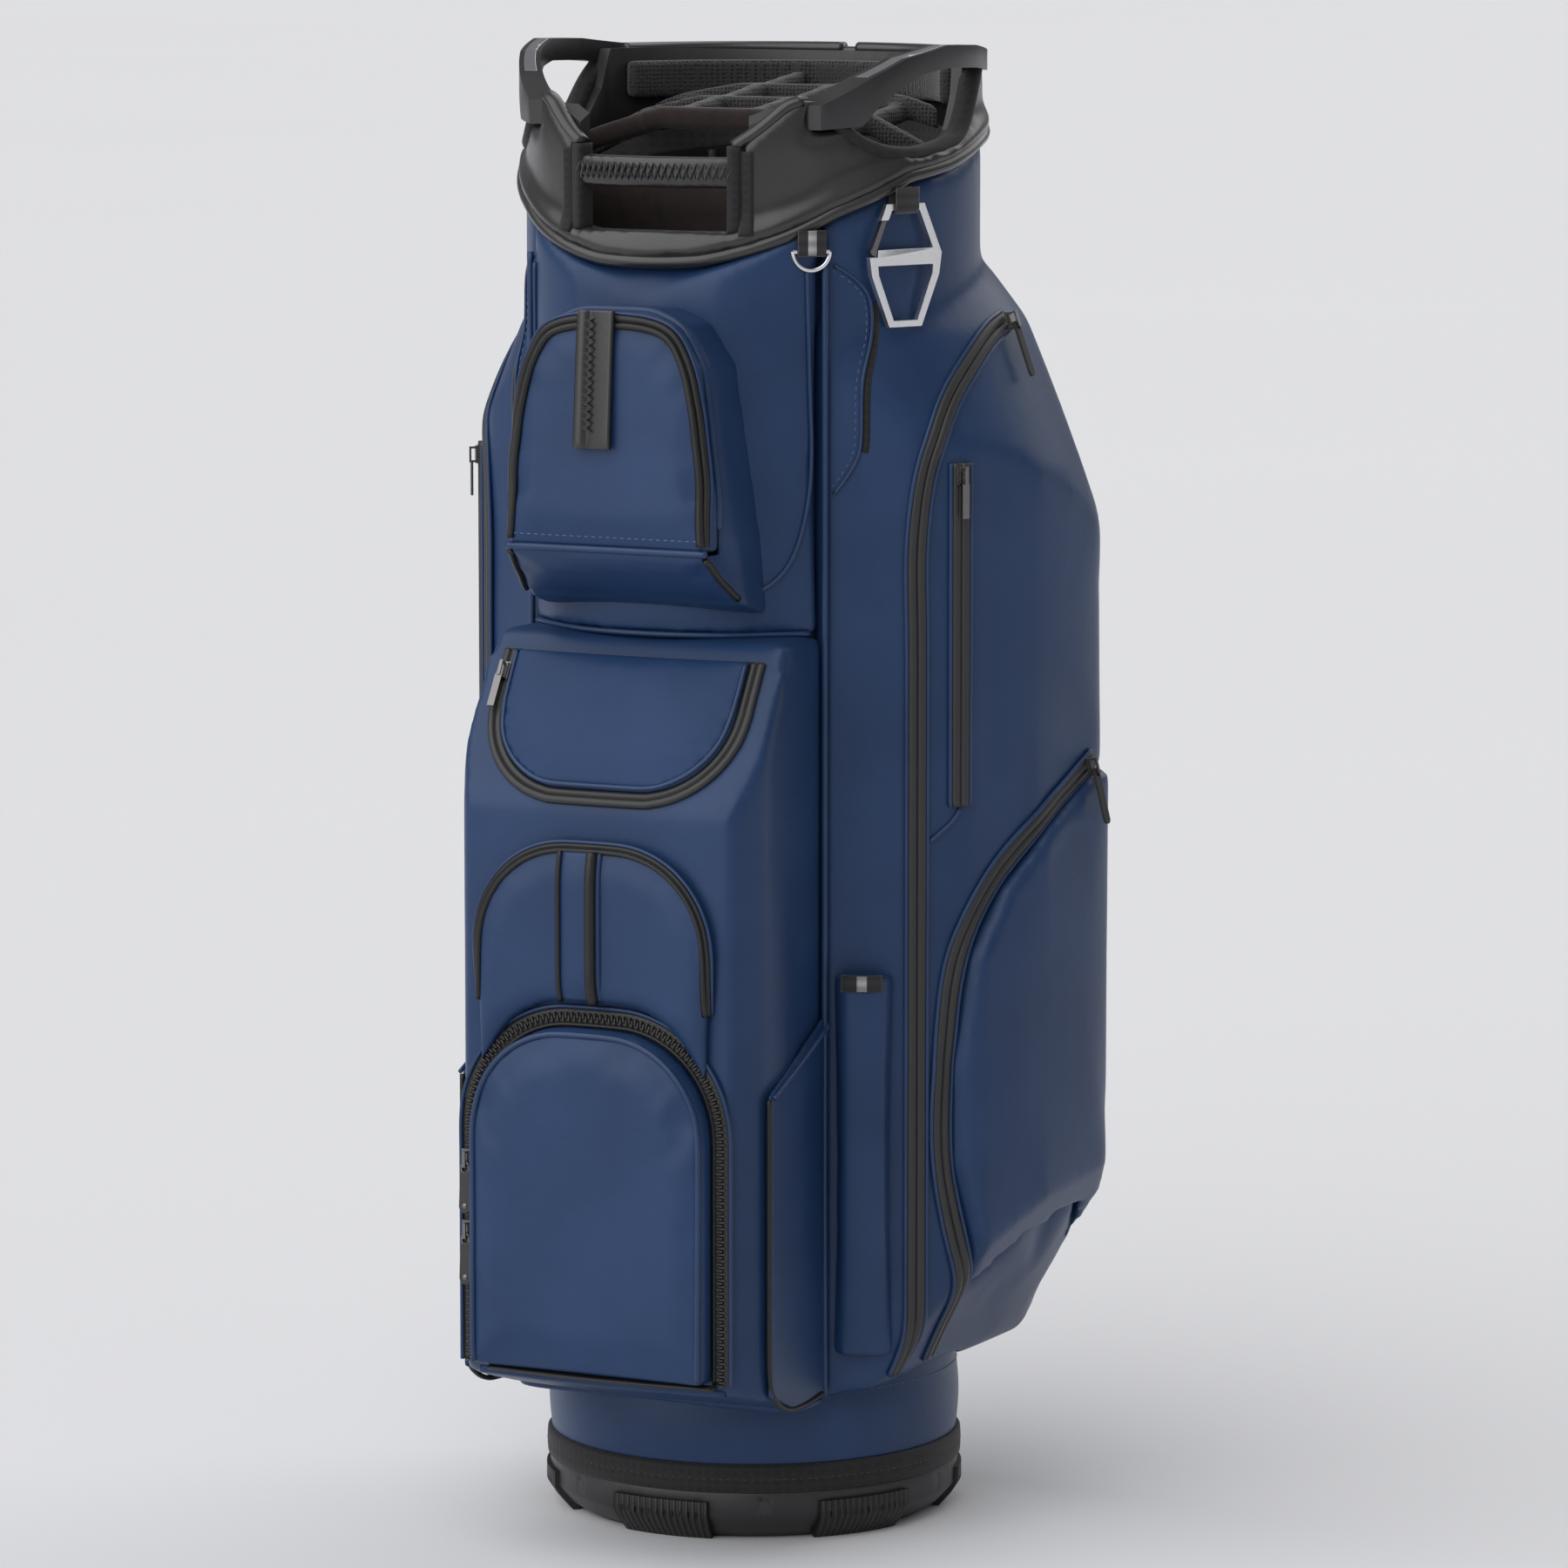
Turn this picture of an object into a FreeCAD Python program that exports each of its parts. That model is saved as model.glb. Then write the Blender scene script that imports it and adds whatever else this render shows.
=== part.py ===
"""Golf cart bag: a moulded foot and top frame joined by stays, a divided club tube, sewn outer panels,
zipped pockets, a padded cuff with three handles, and the hardware that hangs on it.

Millimetres. +Z is up, the front (ball pocket) faces -Y, and the origin is the centre of the foot's underside.
Bearings round the tube are in degrees from the front (-Y), positive towards +X.
"""
import FreeCAD
import Part
import math
import os

Vector = FreeCAD.Vector

# ---- driving dimensions -------------------------------------------------------------------------------------
GAP = 0.3                 # clearance left between neighbouring sewn pieces
WALL = 2.5                # a sewn panel with its backing

FOOT_R = 131.0            # moulded foot
FOOT_H = 32.0
FLOOR_T = 5.0
STEP_Z = 16.0             # ledge round the floor, which the tube and its stays stand on
STEP_R = (104.0, 114.0)   # foot and top of the slope up to it
PAD_COUNT = 6             # ribbed grip pads round the foot
PAD_HALF_DEG = 14.5
PAD_R = 133.5
PAD_H = 26.0
PAD_BACK = [(128.6, PAD_H), (128.6, 17.0), (123.0, 8.0), (117.0, 3.5)]   # where a pad meets the foot's wall
BAND_TOP = 50.0           # top of the binding band above the foot
BAND_R = 133.0
SCREW_Z = 24.0            # height of the screws between the pads
SCREW_HEAD = (3.4, 1.6)   # radius and depth, set flush

TUBE_R = (123.5, 126.5)   # stiff club tube, inside and outside
COVER_R = (126.8, 129.8)  # its padded cover
CORE_R = COVER_R[1] + GAP  # outer panels start here
STAY_R = 4.0
STAY_TOPS = {40: 812.0, 106: 850.0, 140: 862.0}   # bearing either side of the front, and height

FRAME_R = (126.8, 133.9)  # moulded top frame
CUFF_R = (134.2, 143.5)   # padded cuff round the frame
NOTCH_DEG = 24.5          # half width of the front hand opening
WINDOW_Z = 825.0          # its lower edge
HANDLE_Z = (850.0, 869.5)  # padded front handle
SIDE_HANDLE_R = (134.0, 147.5)
WRAP_DEG = (22.5, 27.5)   # edge wraps beside the front opening
WRAP_Z = (820.0, 872.0)
INLAY_T = 2.0             # polished strip along the top of each side handle

BALL_HALF = 82.0          # ball pocket door, half width
BALL_Z = (122.0, 338.0)
BALL_CORNER = 66.0
BALL_FRONT = -229.0
ZIP_W = 10.4              # visible width of the heavy zip
ZIP_PROUD = 5.0
COLUMN_Y = -212.0         # front of the column at the ball pocket
SHELVES_Z = (350.0, 472.0)
ARCH_HALF = 83.0          # flat pocket over the ball door
ARCH_Z = (292.0, 453.0)
ARCH_PROUD = 7.0
STRAP_X = (-20.5, 7.5)    # centre strap on it
STRAP_Z = (351.0, 448.0)
PIPING_R = 1.5            # piping down the column's edges
PIPING_AT = (101.9, -102.2)
PIPING_Z = (122.0, 562.0)
SLOPE_LOW = (-212.0, 474.0)   # the quick pocket's sloping face, (y, z)
SLOPE_HIGH = (-152.0, 575.0)
QUICK_HALF = 80.0
QUICK_S = (12.0, 102.0)   # its flap, measured up the slope
FINDER_SPLIT = -180.0     # where the rangefinder lid meets its pocket
FINDER_SEAM_Z = 632.0

GRID_BAR = 10.0           # padded divider bars
GRID_Y = (-50.0, 5.0, 62.0)
GRID_X = (-74.0, -25.0, 25.0, 74.0)
SHEET_T = 1.2
SHEET_TOP = 850.0
RIM_IN_R = 116.6
RIM_Z = (896.0, 920.0)

SLEEVE_DEPTH = 16.0
SLEEVE_Z = (122.0, 366.0)
BACK_HALF = 92.5          # back panel
BACK_Y = 134.0
BACK_Z = (100.0, 883.0)
CLIP_BEARING = 66.0
CLIP_T = 4.0
RING_BEARING = 41.0

# Lower seam of the cuff as (y, z): the outer panels end under it, the cuff and its frame start on it.
SEAM = [(-150.0, 800.0), (-141.0, 803.0), (-117.0, 819.0), (-99.0, 832.0), (-53.0, 853.0), (-17.0, 859.0),
        (30.0, 871.0), (100.0, 882.0), (150.0, 885.0)]
# Top edges from back to front, with a dip under each side handle.
CUFF_TOP = [(150.0, 929.0), (62.0, 930.0), (46.0, 925.0), (26.0, 905.0), (14.0, 886.0), (-4.0, 876.0),
            (-40.0, 870.0), (-66.0, 872.0), (-84.0, 881.0), (-96.0, 897.0), (-103.0, 905.0), (-111.0, 905.0),
            (-120.0, 893.0), (-131.0, 873.0), (-150.0, 869.5)]
FRAME_TOP = [(150.0, 925.0), (62.0, 928.0), (36.0, 928.0), (28.0, 903.0), (12.0, 882.0), (-6.0, 872.0),
             (-40.0, 867.0), (-68.0, 869.0), (-84.0, 884.0), (-90.0, 899.0), (-108.0, 899.0), (-121.0, 888.0),
             (-133.0, 868.0), (-150.0, 866.0)]
TUBE_TOP = [(-150.0, 812.0), (-60.0, 840.0), (0.0, 850.0), (150.0, 872.0)]
SIDE_HANDLE = [(-107.0, 886.0), (-107.0, 901.0), (-80.0, 918.0), (-57.0, 929.0), (-21.0, 936.0), (19.0, 935.0),
               (56.0, 931.0), (56.0, 918.0), (19.0, 921.0), (-21.0, 922.0), (-43.0, 919.0), (-62.0, 910.0),
               (-76.0, 900.0), (-86.0, 888.0)]

# Plan outlines, right-hand side. Points inside the tube only close the outline.
COLUMN_EDGE = (100.0, -101.0)
SIDE_ZIP = (148.0, -77.0)
COLUMN_PLAN = [(60.0, -80.0), COLUMN_EDGE, (105.0, -188.0), (93.0, COLUMN_Y), (-93.0, COLUMN_Y),
               (-105.0, -188.0), (-100.0, -101.0), (-60.0, -80.0)]
COLUMN_SIDE = [(-60.0, 84.0), (-128.0, 90.0), (-202.0, 112.0), (COLUMN_Y, 120.0), SLOPE_LOW, SLOPE_HIGH,
               (-60.0, 575.0)]
SIDE_PLAN = [(60.0, -80.0), COLUMN_EDGE, SIDE_ZIP, (172.0, -45.0), (194.0, 15.0), (202.0, 90.0), (186.0, 119.0),
             (98.0, 134.0), (60.0, 100.0)]
LOWER_PLAN = [(120.0, -60.0), (160.0, -71.0), (184.0, -42.0), (200.0, 15.0), (207.0, 92.0), (190.0, 118.0),
              (150.0, 100.0)]
# Outlines seen from the front (x, z) and from the side (y, z).
SIDE_FRONT = [(60.0, 84.0), (131.0, 100.0), (150.0, 133.0), (207.0, 222.0), (208.0, 480.0), (204.0, 560.0),
              (204.0, 900.0), (60.0, 900.0)]
SHOULDER = [(240.0, 50.0), (240.0, 548.0), (214.0, 620.0), (160.0, 760.0),
            (134.0, 795.0)]   # radius and height of the taper, about an axis set back by SHOULDER_Y
SHOULDER_Y = 30.0
UPPER_R = 143.2
LOWER_SIDE = [(76.0, 474.0), (24.0, 446.0), (-16.0, 412.0), (-42.0, 372.0), (-51.0, 300.0), (-51.0, 240.0),
              (-36.0, 170.0), (-20.0, 110.0), (130.0, 110.0), (130.0, 474.0)]
LONG_ZIP = [(-80.0, 108.0), (-80.0, 640.0), (-70.0, 694.0), (-34.0, 738.0), (8.0, 763.0), (42.0, 769.0),
            (42.0, 756.0), (12.0, 750.0), (-26.0, 726.0), (-58.0, 686.0), (-66.0, 638.0), (-66.0, 108.0)]
UPRIGHT_ZIP = [(-54.0, 462.0), (-54.0, 682.0), (-44.0, 682.0), (-44.0, 470.0)]
LOWER_ZIP = [(80.0, 477.0), (80.0, 490.0), (14.0, 459.0), (-30.0, 422.0), (-56.0, 376.0), (-64.0, 300.0),
             (-64.0, 236.0), (-50.0, 166.0), (-34.0, 112.0), (-22.0, 112.0), (-38.0, 170.0), (-53.0, 240.0),
             (-53.0, 301.0), (-44.0, 373.0), (-17.5, 413.5), (23.0, 448.0)]
SLIP_FRONT = [(104.0, 812.0), (122.0, 780.0), (122.0, 684.0), (104.0, 660.0)]

# Zip sliders: where each sits and which way it faces; the stand-off from the surface is in the point.
BALL_SLIDERS = {"upper": 250.0, "lower": 205.0}
BALL_SLIDER_X = -87.6
SIDE_SLIDERS = {
    "apparel": ((162.8, 34.0, 762.5), (0.941, 0.0, 0.339)),
    "lower": ((203.6, 69.0, 479.0), (0.962, -0.09, 0.259)),
}
UPRIGHT_SLIDER = ((170.9, -50.4, 672.0), (0.8, -0.6, 0.0))
QUICK_SLIDER = (-86.4, 86.0, 3.6)   # across, up the slope, off the slope
RING_BAR = (148.7, 812.0)  # radius and height of the D-ring's straight bar
CLIP_BAR = (148.1, 838.0)
SIDES = {"right": 1, "left": -1}


# ---- small helpers ------------------------------------------------------------------------------------------
def face(points):
    closed = list(points) + [points[0]]
    return Part.Face(Part.makePolygon([Vector(*p) for p in closed]))


def prism_xy(points, z0, z1):
    return face([(x, y, z0) for x, y in points]).extrude(Vector(0, 0, z1 - z0))


def prism_yz(points, x0, x1):
    return face([(x0, y, z) for y, z in points]).extrude(Vector(x1 - x0, 0, 0))


def prism_xz(points, y0, y1):
    return face([(x, y0, z) for x, z in points]).extrude(Vector(0, y1 - y0, 0))


def box(x0, x1, y0, y1, z0, z1):
    return Part.makeBox(x1 - x0, y1 - y0, z1 - z0, Vector(x0, y0, z0))


def ring(r_in, r_out, z0, z1):
    outer = Part.makeCylinder(r_out, z1 - z0, Vector(0, 0, z0))
    return outer.cut(Part.makeCylinder(r_in, z1 - z0 + 2, Vector(0, 0, z0 - 1)))


def turned(profile, y=0.0):
    """A solid of revolution from (radius, height) points, about an upright axis at the given y."""
    return face([(r, y, z) for r, z in profile]).revolve(Vector(0, y, 0), Vector(0, 0, 1), 360)


def at(bearing, r):
    a = math.radians(bearing)
    return r * math.sin(a), -r * math.cos(a)


def wedge(lo, hi, z0, z1, reach=400.0):
    """A pie slice between two bearings less than 180 degrees apart."""
    return prism_xy([(0, 0), at(lo, reach), at((lo + hi) / 2, reach * 1.6), at(hi, reach)], z0, z1)


def sector(r_in, r_out, lo, hi, z0, z1):
    return ring(r_in, r_out, z0, z1).common(wedge(lo, hi, z0 - 1, z1 + 1))


def grow(points, d):
    """A closed outline moved outwards by d, or inwards where d is negative, with mitred corners."""
    area = sum(a[0] * b[1] - b[0] * a[1] for a, b in zip(points, points[1:] + points[:1]))
    sign = 1 if area > 0 else -1
    out = []
    for before, here, after in zip(points[-1:] + points[:-1], points, points[1:] + points[:1]):
        e1 = Vector(here[0] - before[0], here[1] - before[1], 0).normalize()
        e2 = Vector(after[0] - here[0], after[1] - here[1], 0).normalize()
        n1 = Vector(e1.y, -e1.x, 0) * sign
        n2 = Vector(e2.y, -e2.x, 0) * sign
        m = (n1 + n2).normalize()
        k = d / max(m.dot(n1), 0.3)
        out.append((here[0] + m.x * k, here[1] + m.y * k))
    return out


def arc_points(cx, cz, r, a0, a1, n=6):
    angles = [math.radians(a0 + (a1 - a0) * i / n) for i in range(n + 1)]
    return [(cx + r * math.cos(a), cz + r * math.sin(a)) for a in angles]


def arch(half, z0, z1, r):
    """An upright arch in (x, z): flat foot at z0, top corners rounded by r."""
    right = arc_points(half - r, z1 - r, r, 0, 90)
    left = arc_points(r - half, z1 - r, r, 90, 180)
    return [(-half, z0), (half, z0)] + right + left


def bowl(half, z0, z1, r):
    """An arch upside down: flat top at z1, bottom corners rounded by r."""
    return [(x, z0 + z1 - z) for x, z in arch(half, z0, z1, r)]


def under(edge, drop=0.0):
    """Everything below an edge line of (y, z) points, lowered by drop."""
    line = [(y, z - drop) for y, z in edge]
    return prism_yz([(-400, line[0][1])] + line + [(400, line[-1][1]), (400, 0), (-400, 0)], -400, 400)


def largest(shape):
    return max(shape.Solids, key=lambda s: s.Volume)


def mirrored(shape):
    return shape.mirror(Vector(0, 0, 0), Vector(1, 0, 0))


def pair(shape):
    return [shape, mirrored(shape)]


def save(name, *shapes):
    """Writes one node's solids, leaving out any crumb under 5 cubic millimetres."""
    solids = [s for shape in shapes for s in shape.Solids if s.Volume > 5.0]
    if not solids or not all(s.isValid() for s in solids):
        print("CHECK", name, [(s.isValid(), round(s.Volume)) for s in solids])
    Part.makeCompound(solids).exportStep(f"parts/{name}.step")


# ---- foot, tube and dividers --------------------------------------------------------------------------------
def foot_pads():
    blank = turned([(PAD_BACK[-1][0], 0), (121, 0), (129, 9), (PAD_R, 16), (PAD_R, PAD_H)] + PAD_BACK)
    pads = []
    for i in range(PAD_COUNT):
        bearing = i * 360 / PAD_COUNT
        pad = blank.common(wedge(bearing - PAD_HALF_DEG, bearing + PAD_HALF_DEG, -1, PAD_H + 1))
        for k in range(-5, 6):
            x, y = at(bearing + k * 2.3, PAD_R)
            pad = pad.cut(Part.makeCylinder(0.9, 20, Vector(x, y, -1)))
        pads.append(largest(pad))
    return pads


def base_shell(screws):
    wall_in = COVER_R[0]
    shell = turned([(0, 0), (112, 0), (122, 6), (129, 14), (FOOT_R, 17), (FOOT_R, FOOT_H), (wall_in, FOOT_H),
                    (wall_in, STEP_Z), (STEP_R[1], STEP_Z), (STEP_R[0], FLOOR_T), (0, FLOOR_T)])
    window = turned([(PAD_BACK[-1][0], -1), (FOOT_R + 10, -1), (FOOT_R + 10, PAD_H)] + PAD_BACK)
    for i in range(PAD_COUNT):
        bearing = i * 360 / PAD_COUNT
        shell = shell.cut(window.common(wedge(bearing - PAD_HALF_DEG, bearing + PAD_HALF_DEG, -2, PAD_H + 1)))
    for screw in screws:
        shell = shell.cut(screw)
    return shell


def base_screws():
    """Short screws through the foot's wall into the tube, one between each two pads."""
    screws = []
    for i in range(PAD_COUNT):
        x, y = at(30 + i * 360 / PAD_COUNT, 1)
        out = Vector(x, y, 0)
        head_r, head_deep = SCREW_HEAD
        shank = Part.makeCylinder(1.6, FOOT_R - TUBE_R[0] - 2, out * (TUBE_R[0] + 1) + Vector(0, 0, SCREW_Z), out)
        head = Part.makeCylinder(head_r, head_deep, out * (FOOT_R - head_deep) + Vector(0, 0, SCREW_Z), out)
        screws.append(shank.fuse(head).removeSplitter())
    return screws


def stays():
    """Stiff rods that stand in the foot against the tube's inside and carry the top frame."""
    r = TUBE_R[0] - STAY_R - 0.5
    rods = []
    for bearing, top in STAY_TOPS.items():
        for side in (1, -1):
            x, y = at(side * bearing, r)
            rods.append(Part.makeCylinder(STAY_R, top - STEP_Z - GAP, Vector(x, y, STEP_Z + GAP)))
    return rods


def slot_sheets():
    """Full-length fabric sheets between the club slots, from just over the foot's ledge to under the bars."""
    inside = Part.makeCylinder(TUBE_R[0] - GAP, 1000)
    half = SHEET_T / 2
    low, high = STEP_Z + 1, SHEET_TOP
    sheets = [box(-126, 126, y - half, y + half, low, high).common(inside) for y in GRID_Y]
    for x in GRID_X:
        rows = [(GRID_Y[0], GRID_Y[1]), (GRID_Y[1], GRID_Y[2])]
        if abs(x) < 50:
            rows.append((GRID_Y[2], 130.0))
        for y0, y1 in rows:
            sheets.append(box(x - half, x + half, y0 + half + GAP, y1 - half - GAP, low, high).common(inside))
    return sheets


def divider_bars():
    """Padded bars over the sheets: three across the tube, the rest running front to back between them."""
    inside = Part.makeCylinder(FRAME_R[0] - GAP, 1000)
    half = GRID_BAR / 2
    heights = {GRID_Y[0]: (866, 884, 896), GRID_Y[1]: (868, 892, 901), GRID_Y[2]: (884, 900, 907)}
    bars = []
    for y, (end, shoulder, crown) in heights.items():
        line = [(-130, end), (-80, shoulder), (-40, crown), (40, crown), (80, shoulder), (130, end)]
        lower = [(x, z - 14) for x, z in reversed(line)]
        bars.append(prism_xz(line + lower, y - half, y + half))
    crowns = [(GRID_Y[0], 896), (GRID_Y[1], 901), (GRID_Y[2], 907), (130.0, 914)]
    for x in GRID_X:
        fall = 11 if abs(x) > 50 else 0
        for (y0, z0), (y1, z1) in zip(crowns, crowns[1:]):
            if y1 > 100 and abs(x) > 50:
                continue
            y0, y1 = y0 + half + GAP, y1 - half - GAP
            outline = [(y0, z0 - fall), (y1, z1 - fall), (y1, z1 - fall - 13), (y0, z0 - fall - 13)]
            bars.append(prism_yz(outline, x - half, x + half))
    rim_space = ring(RIM_IN_R - GAP, 140, 880, 960).common(box(-200, 200, 40, 200, 880, 960))
    return [largest(bar.common(inside).cut(rim_space)) for bar in bars]


def rear_rim():
    halves = [sector(RIM_IN_R, FRAME_R[0] - GAP, lo, lo + 68, *RIM_Z) for lo in (112, 180)]
    return halves[0].fuse(halves[1]).removeSplitter()


# ---- cuff, frame and handles --------------------------------------------------------------------------------
def collar(radii, top):
    return ring(radii[0], radii[1], 780, 960).common(prism_yz(SEAM + top, -200, 200))


def side_handle():
    return ring(SIDE_HANDLE_R[0], SIDE_HANDLE_R[1], 880, 940).common(prism_yz(SIDE_HANDLE, 20, 200))


def handle_inlay(handle):
    """The polished strip let into the handle's top edge."""
    lane = prism_yz([(-80, 960), (-80, 918 - INLAY_T), (-57, 929 - INLAY_T), (-21, 936 - INLAY_T),
                     (14, 935.1 - INLAY_T), (14, 960)], 20, 200)
    return largest(handle.common(lane).common(ring(137.0, 144.5, 880, 960)))


def handle_screws():
    screws = []
    for bearing, z in ((46, 891), (110, 924.5)):
        x, y = at(bearing, 1)
        out = Vector(x, y, 0)
        screws += pair(Part.makeCylinder(1.8, 14.0, out * (FRAME_R[0] + 0.4) + Vector(0, 0, z), out))
    return screws


def top_assembly():
    screws = handle_screws()
    frame = collar(FRAME_R, FRAME_TOP).cut(wedge(-NOTCH_DEG - 1.5, NOTCH_DEG + 1.5, WINDOW_Z - 2, 960))
    cuff = collar(CUFF_R, CUFF_TOP).cut(wedge(-NOTCH_DEG, NOTCH_DEG, WINDOW_Z, 960))
    handle = side_handle()
    for shape in pair(handle):
        cuff = cuff.cut(shape)
    inlay = handle_inlay(handle)
    handle = handle.cut(inlay)
    for screw in screws:
        frame = frame.cut(screw)
        cuff = cuff.cut(screw)
        handle = handle.cut(screw)
    handle = largest(handle)
    save("top_frame", largest(frame))
    save("cuff", largest(cuff))
    save("side_handle_right", handle)
    save("side_handle_left", mirrored(handle))
    save("handle_inlays", *pair(inlay))
    save("front_handle", sector(131.0, 143.0, -NOTCH_DEG, NOTCH_DEG, *HANDLE_Z))
    save("handle_wraps", *pair(sector(CUFF_R[1] + GAP, CUFF_R[1] + 1.9, *WRAP_DEG, *WRAP_Z)))
    return screws


# ---- side pockets -------------------------------------------------------------------------------------------
def shoulder(inset):
    """The space under the taper, drawn in by inset from its side and from its top."""
    edge = [(r - inset, z - inset) for r, z in SHOULDER]
    return turned([(0, edge[0][1])] + edge + [(0, edge[-1][1])], SHOULDER_Y)


def side_volume(inset):
    """The whole right-hand side: the bulging pocket and, over it, the plain panel up to the cuff's seam."""
    bulge = prism_xy(grow(SIDE_PLAN, -inset), 60, 900)
    bulge = bulge.common(prism_xz(grow(SIDE_FRONT, -inset), -200, 200))
    bulge = bulge.common(shoulder(inset))
    upper = sector(CORE_R, UPPER_R - inset, 45 + inset / 2, 136 - inset / 2, 560 + inset, 900)
    body = bulge.fuse(upper).cut(Part.makeCylinder(CORE_R + max(inset, 0), 1000))
    return body.common(under(SEAM, GAP + inset))


def lower_volume(inset):
    """The outer layer of the side's lower half, which is a pocket of its own."""
    layer = prism_xy(grow(LOWER_PLAN, -inset), 60, 600).cut(prism_xy(grow(SIDE_PLAN, inset - 14), 60, 600))
    layer = layer.common(prism_xz(grow(SIDE_FRONT, -inset), -200, 200))
    return layer.common(prism_yz(grow(LOWER_SIDE, -inset), 100, 300))


def side_skin(outline, thick=1.5):
    """A thin strip that follows the side's surface inside an outline seen from the side."""
    skin = side_volume(-GAP - thick).cut(side_volume(-GAP))
    return [s for s in skin.common(prism_yz(outline, 90, 300)).Solids if s.Volume > 50]


def slip_pocket():
    """The flat pocket beside the column under the cuff."""
    skin = side_volume(-GAP - 1.5).cut(side_volume(-GAP))
    return largest(skin.common(prism_xz(SLIP_FRONT, -200, -60)))


def sleeve_plan(inset, depth):
    along = Vector(SIDE_ZIP[0] - COLUMN_EDGE[0], SIDE_ZIP[1] - COLUMN_EDGE[1], 0).normalize()
    out = Vector(along.y, -along.x, 0)
    a = Vector(*COLUMN_EDGE, 0) + along * (5 + inset) + out * (GAP + inset)
    b = Vector(*SIDE_ZIP, 0) - along * (8 + inset) + out * (GAP + inset)
    reach = out * (depth - 2 * inset)
    return [(p.x, p.y) for p in (a, b, b - along * 7 + reach, a + along * 7 + reach)]


def side_sleeve():
    """An open-topped sleeve between the column and the long zip."""
    low, high = SLEEVE_Z
    outside = prism_xy(sleeve_plan(0, SLEEVE_DEPTH), low, high)
    return outside.cut(prism_xy(sleeve_plan(2, SLEEVE_DEPTH), low + 3, high + 14))


def sleeve_webbing():
    """The elastic webbing across the sleeve's mouth, on its outer face."""
    c, d = [Vector(x, y, 0) for x, y in sleeve_plan(0, SLEEVE_DEPTH)[2:]]
    out = Vector((c - d).y, -(c - d).x, 0).normalize()
    near, far = out * GAP, out * (GAP + 1.5)
    return prism_xy([(p.x, p.y) for p in (d + near, c + near, c + far, d + far)], SLEEVE_Z[1] - 9, SLEEVE_Z[1] + 1)


def corner_sleeve():
    """The slip panel on the column's lower corner; its top edge runs down towards the front."""
    plan = [(100.9, -106.0), (105.5, -187.6), (108.5, -187.4), (103.9, -105.8)]
    edge = [(-190, 112), (-190, 298), (-101, 338), (-101, 98), (-150, 96)]
    return prism_xy(plan, 60, 400).common(prism_yz(edge, 60, 200))


def build_sides():
    outer = side_volume(0).cut(lower_volume(-GAP))
    inner = side_volume(WALL).cut(lower_volume(-GAP - WALL))
    side = largest(outer).cut(largest(inner))
    lower = largest(lower_volume(0)).cut(largest(lower_volume(WALL)))
    save("side_pocket_right", side)
    save("side_pocket_left", mirrored(side))
    save("lower_pocket_right", lower)
    save("lower_pocket_left", mirrored(lower))
    strips = side_skin(LONG_ZIP) + side_skin(UPRIGHT_ZIP) + side_skin(LOWER_ZIP)
    save("side_zips", *[p for strip in strips for p in pair(strip)])
    save("slip_pockets", *pair(slip_pocket()), *pair(corner_sleeve()))
    save("side_sleeves", *pair(side_sleeve()))
    save("sleeve_webbing", *pair(sleeve_webbing()))


# ---- front column and its pockets ---------------------------------------------------------------------------
def column_volume(inset):
    plan = prism_xy(grow(COLUMN_PLAN, -inset), 60, 600)
    return plan.common(prism_yz(grow(COLUMN_SIDE, -inset), -200, 200))


def front_volume(extra):
    """The upper front panel: round in plan, leaning out towards its foot."""
    a = Vector(-100 - extra, -101, 575)
    b = Vector(0, -152 - extra, 575)
    c = Vector(100 + extra, -101, 575)
    d = Vector(60, -80, 575)
    e = Vector(-60, -80, 575)
    edges = [Part.Arc(a, b, c).toShape(), Part.makeLine(c, d), Part.makeLine(d, e), Part.makeLine(e, a)]
    bulge = Part.Face(Part.Wire(edges)).extrude(Vector(0, 0, 260))
    lean = [(-60, 575 + GAP), (-152 - extra, 575 + GAP), (-141 - extra, 800), (-141 - extra, 840), (-60, 840)]
    return bulge.common(prism_yz(lean, -200, 200))


def finder_volume(inset):
    """The rangefinder pocket with its underside running back to the panel."""
    low, high = 590.0, 778.0
    front = [(-76, low), (76, low), (73, low + 46), (60, high - 34), (46, high - 9), (24, high), (-24, high),
             (-46, high - 9), (-60, high - 34), (-73, low + 46)]
    side = [(-100, 580), (-160, 596), (-199, 628), (-199, 640), (-193, high), (-100, high)]
    plan = [(-80, -90), (-78, -140), (-67, -200), (67, -200), (78, -140), (80, -90)]
    body = prism_xz(grow(front, -inset), -260, -60).common(prism_yz(grow(side, -inset), -200, 200))
    return body.common(prism_xy(grow(plan, -inset), 560, 800))


def slope_place():
    """The matrix that lays a piece drawn in (across, up the slope, off the slope) on the slope."""
    d = Vector(0, SLOPE_HIGH[0] - SLOPE_LOW[0], SLOPE_HIGH[1] - SLOPE_LOW[1]).normalize()
    n = Vector(0, -d.z, d.y)
    return FreeCAD.Matrix(1, 0, 0, 0, 0, d.y, n.y, SLOPE_LOW[0], 0, d.z, n.z, SLOPE_LOW[1], 0, 0, 0, 1)


def on_slope(outline, off0, off1):
    return prism_xy(outline, off0, off1).transformGeometry(slope_place())


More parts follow.
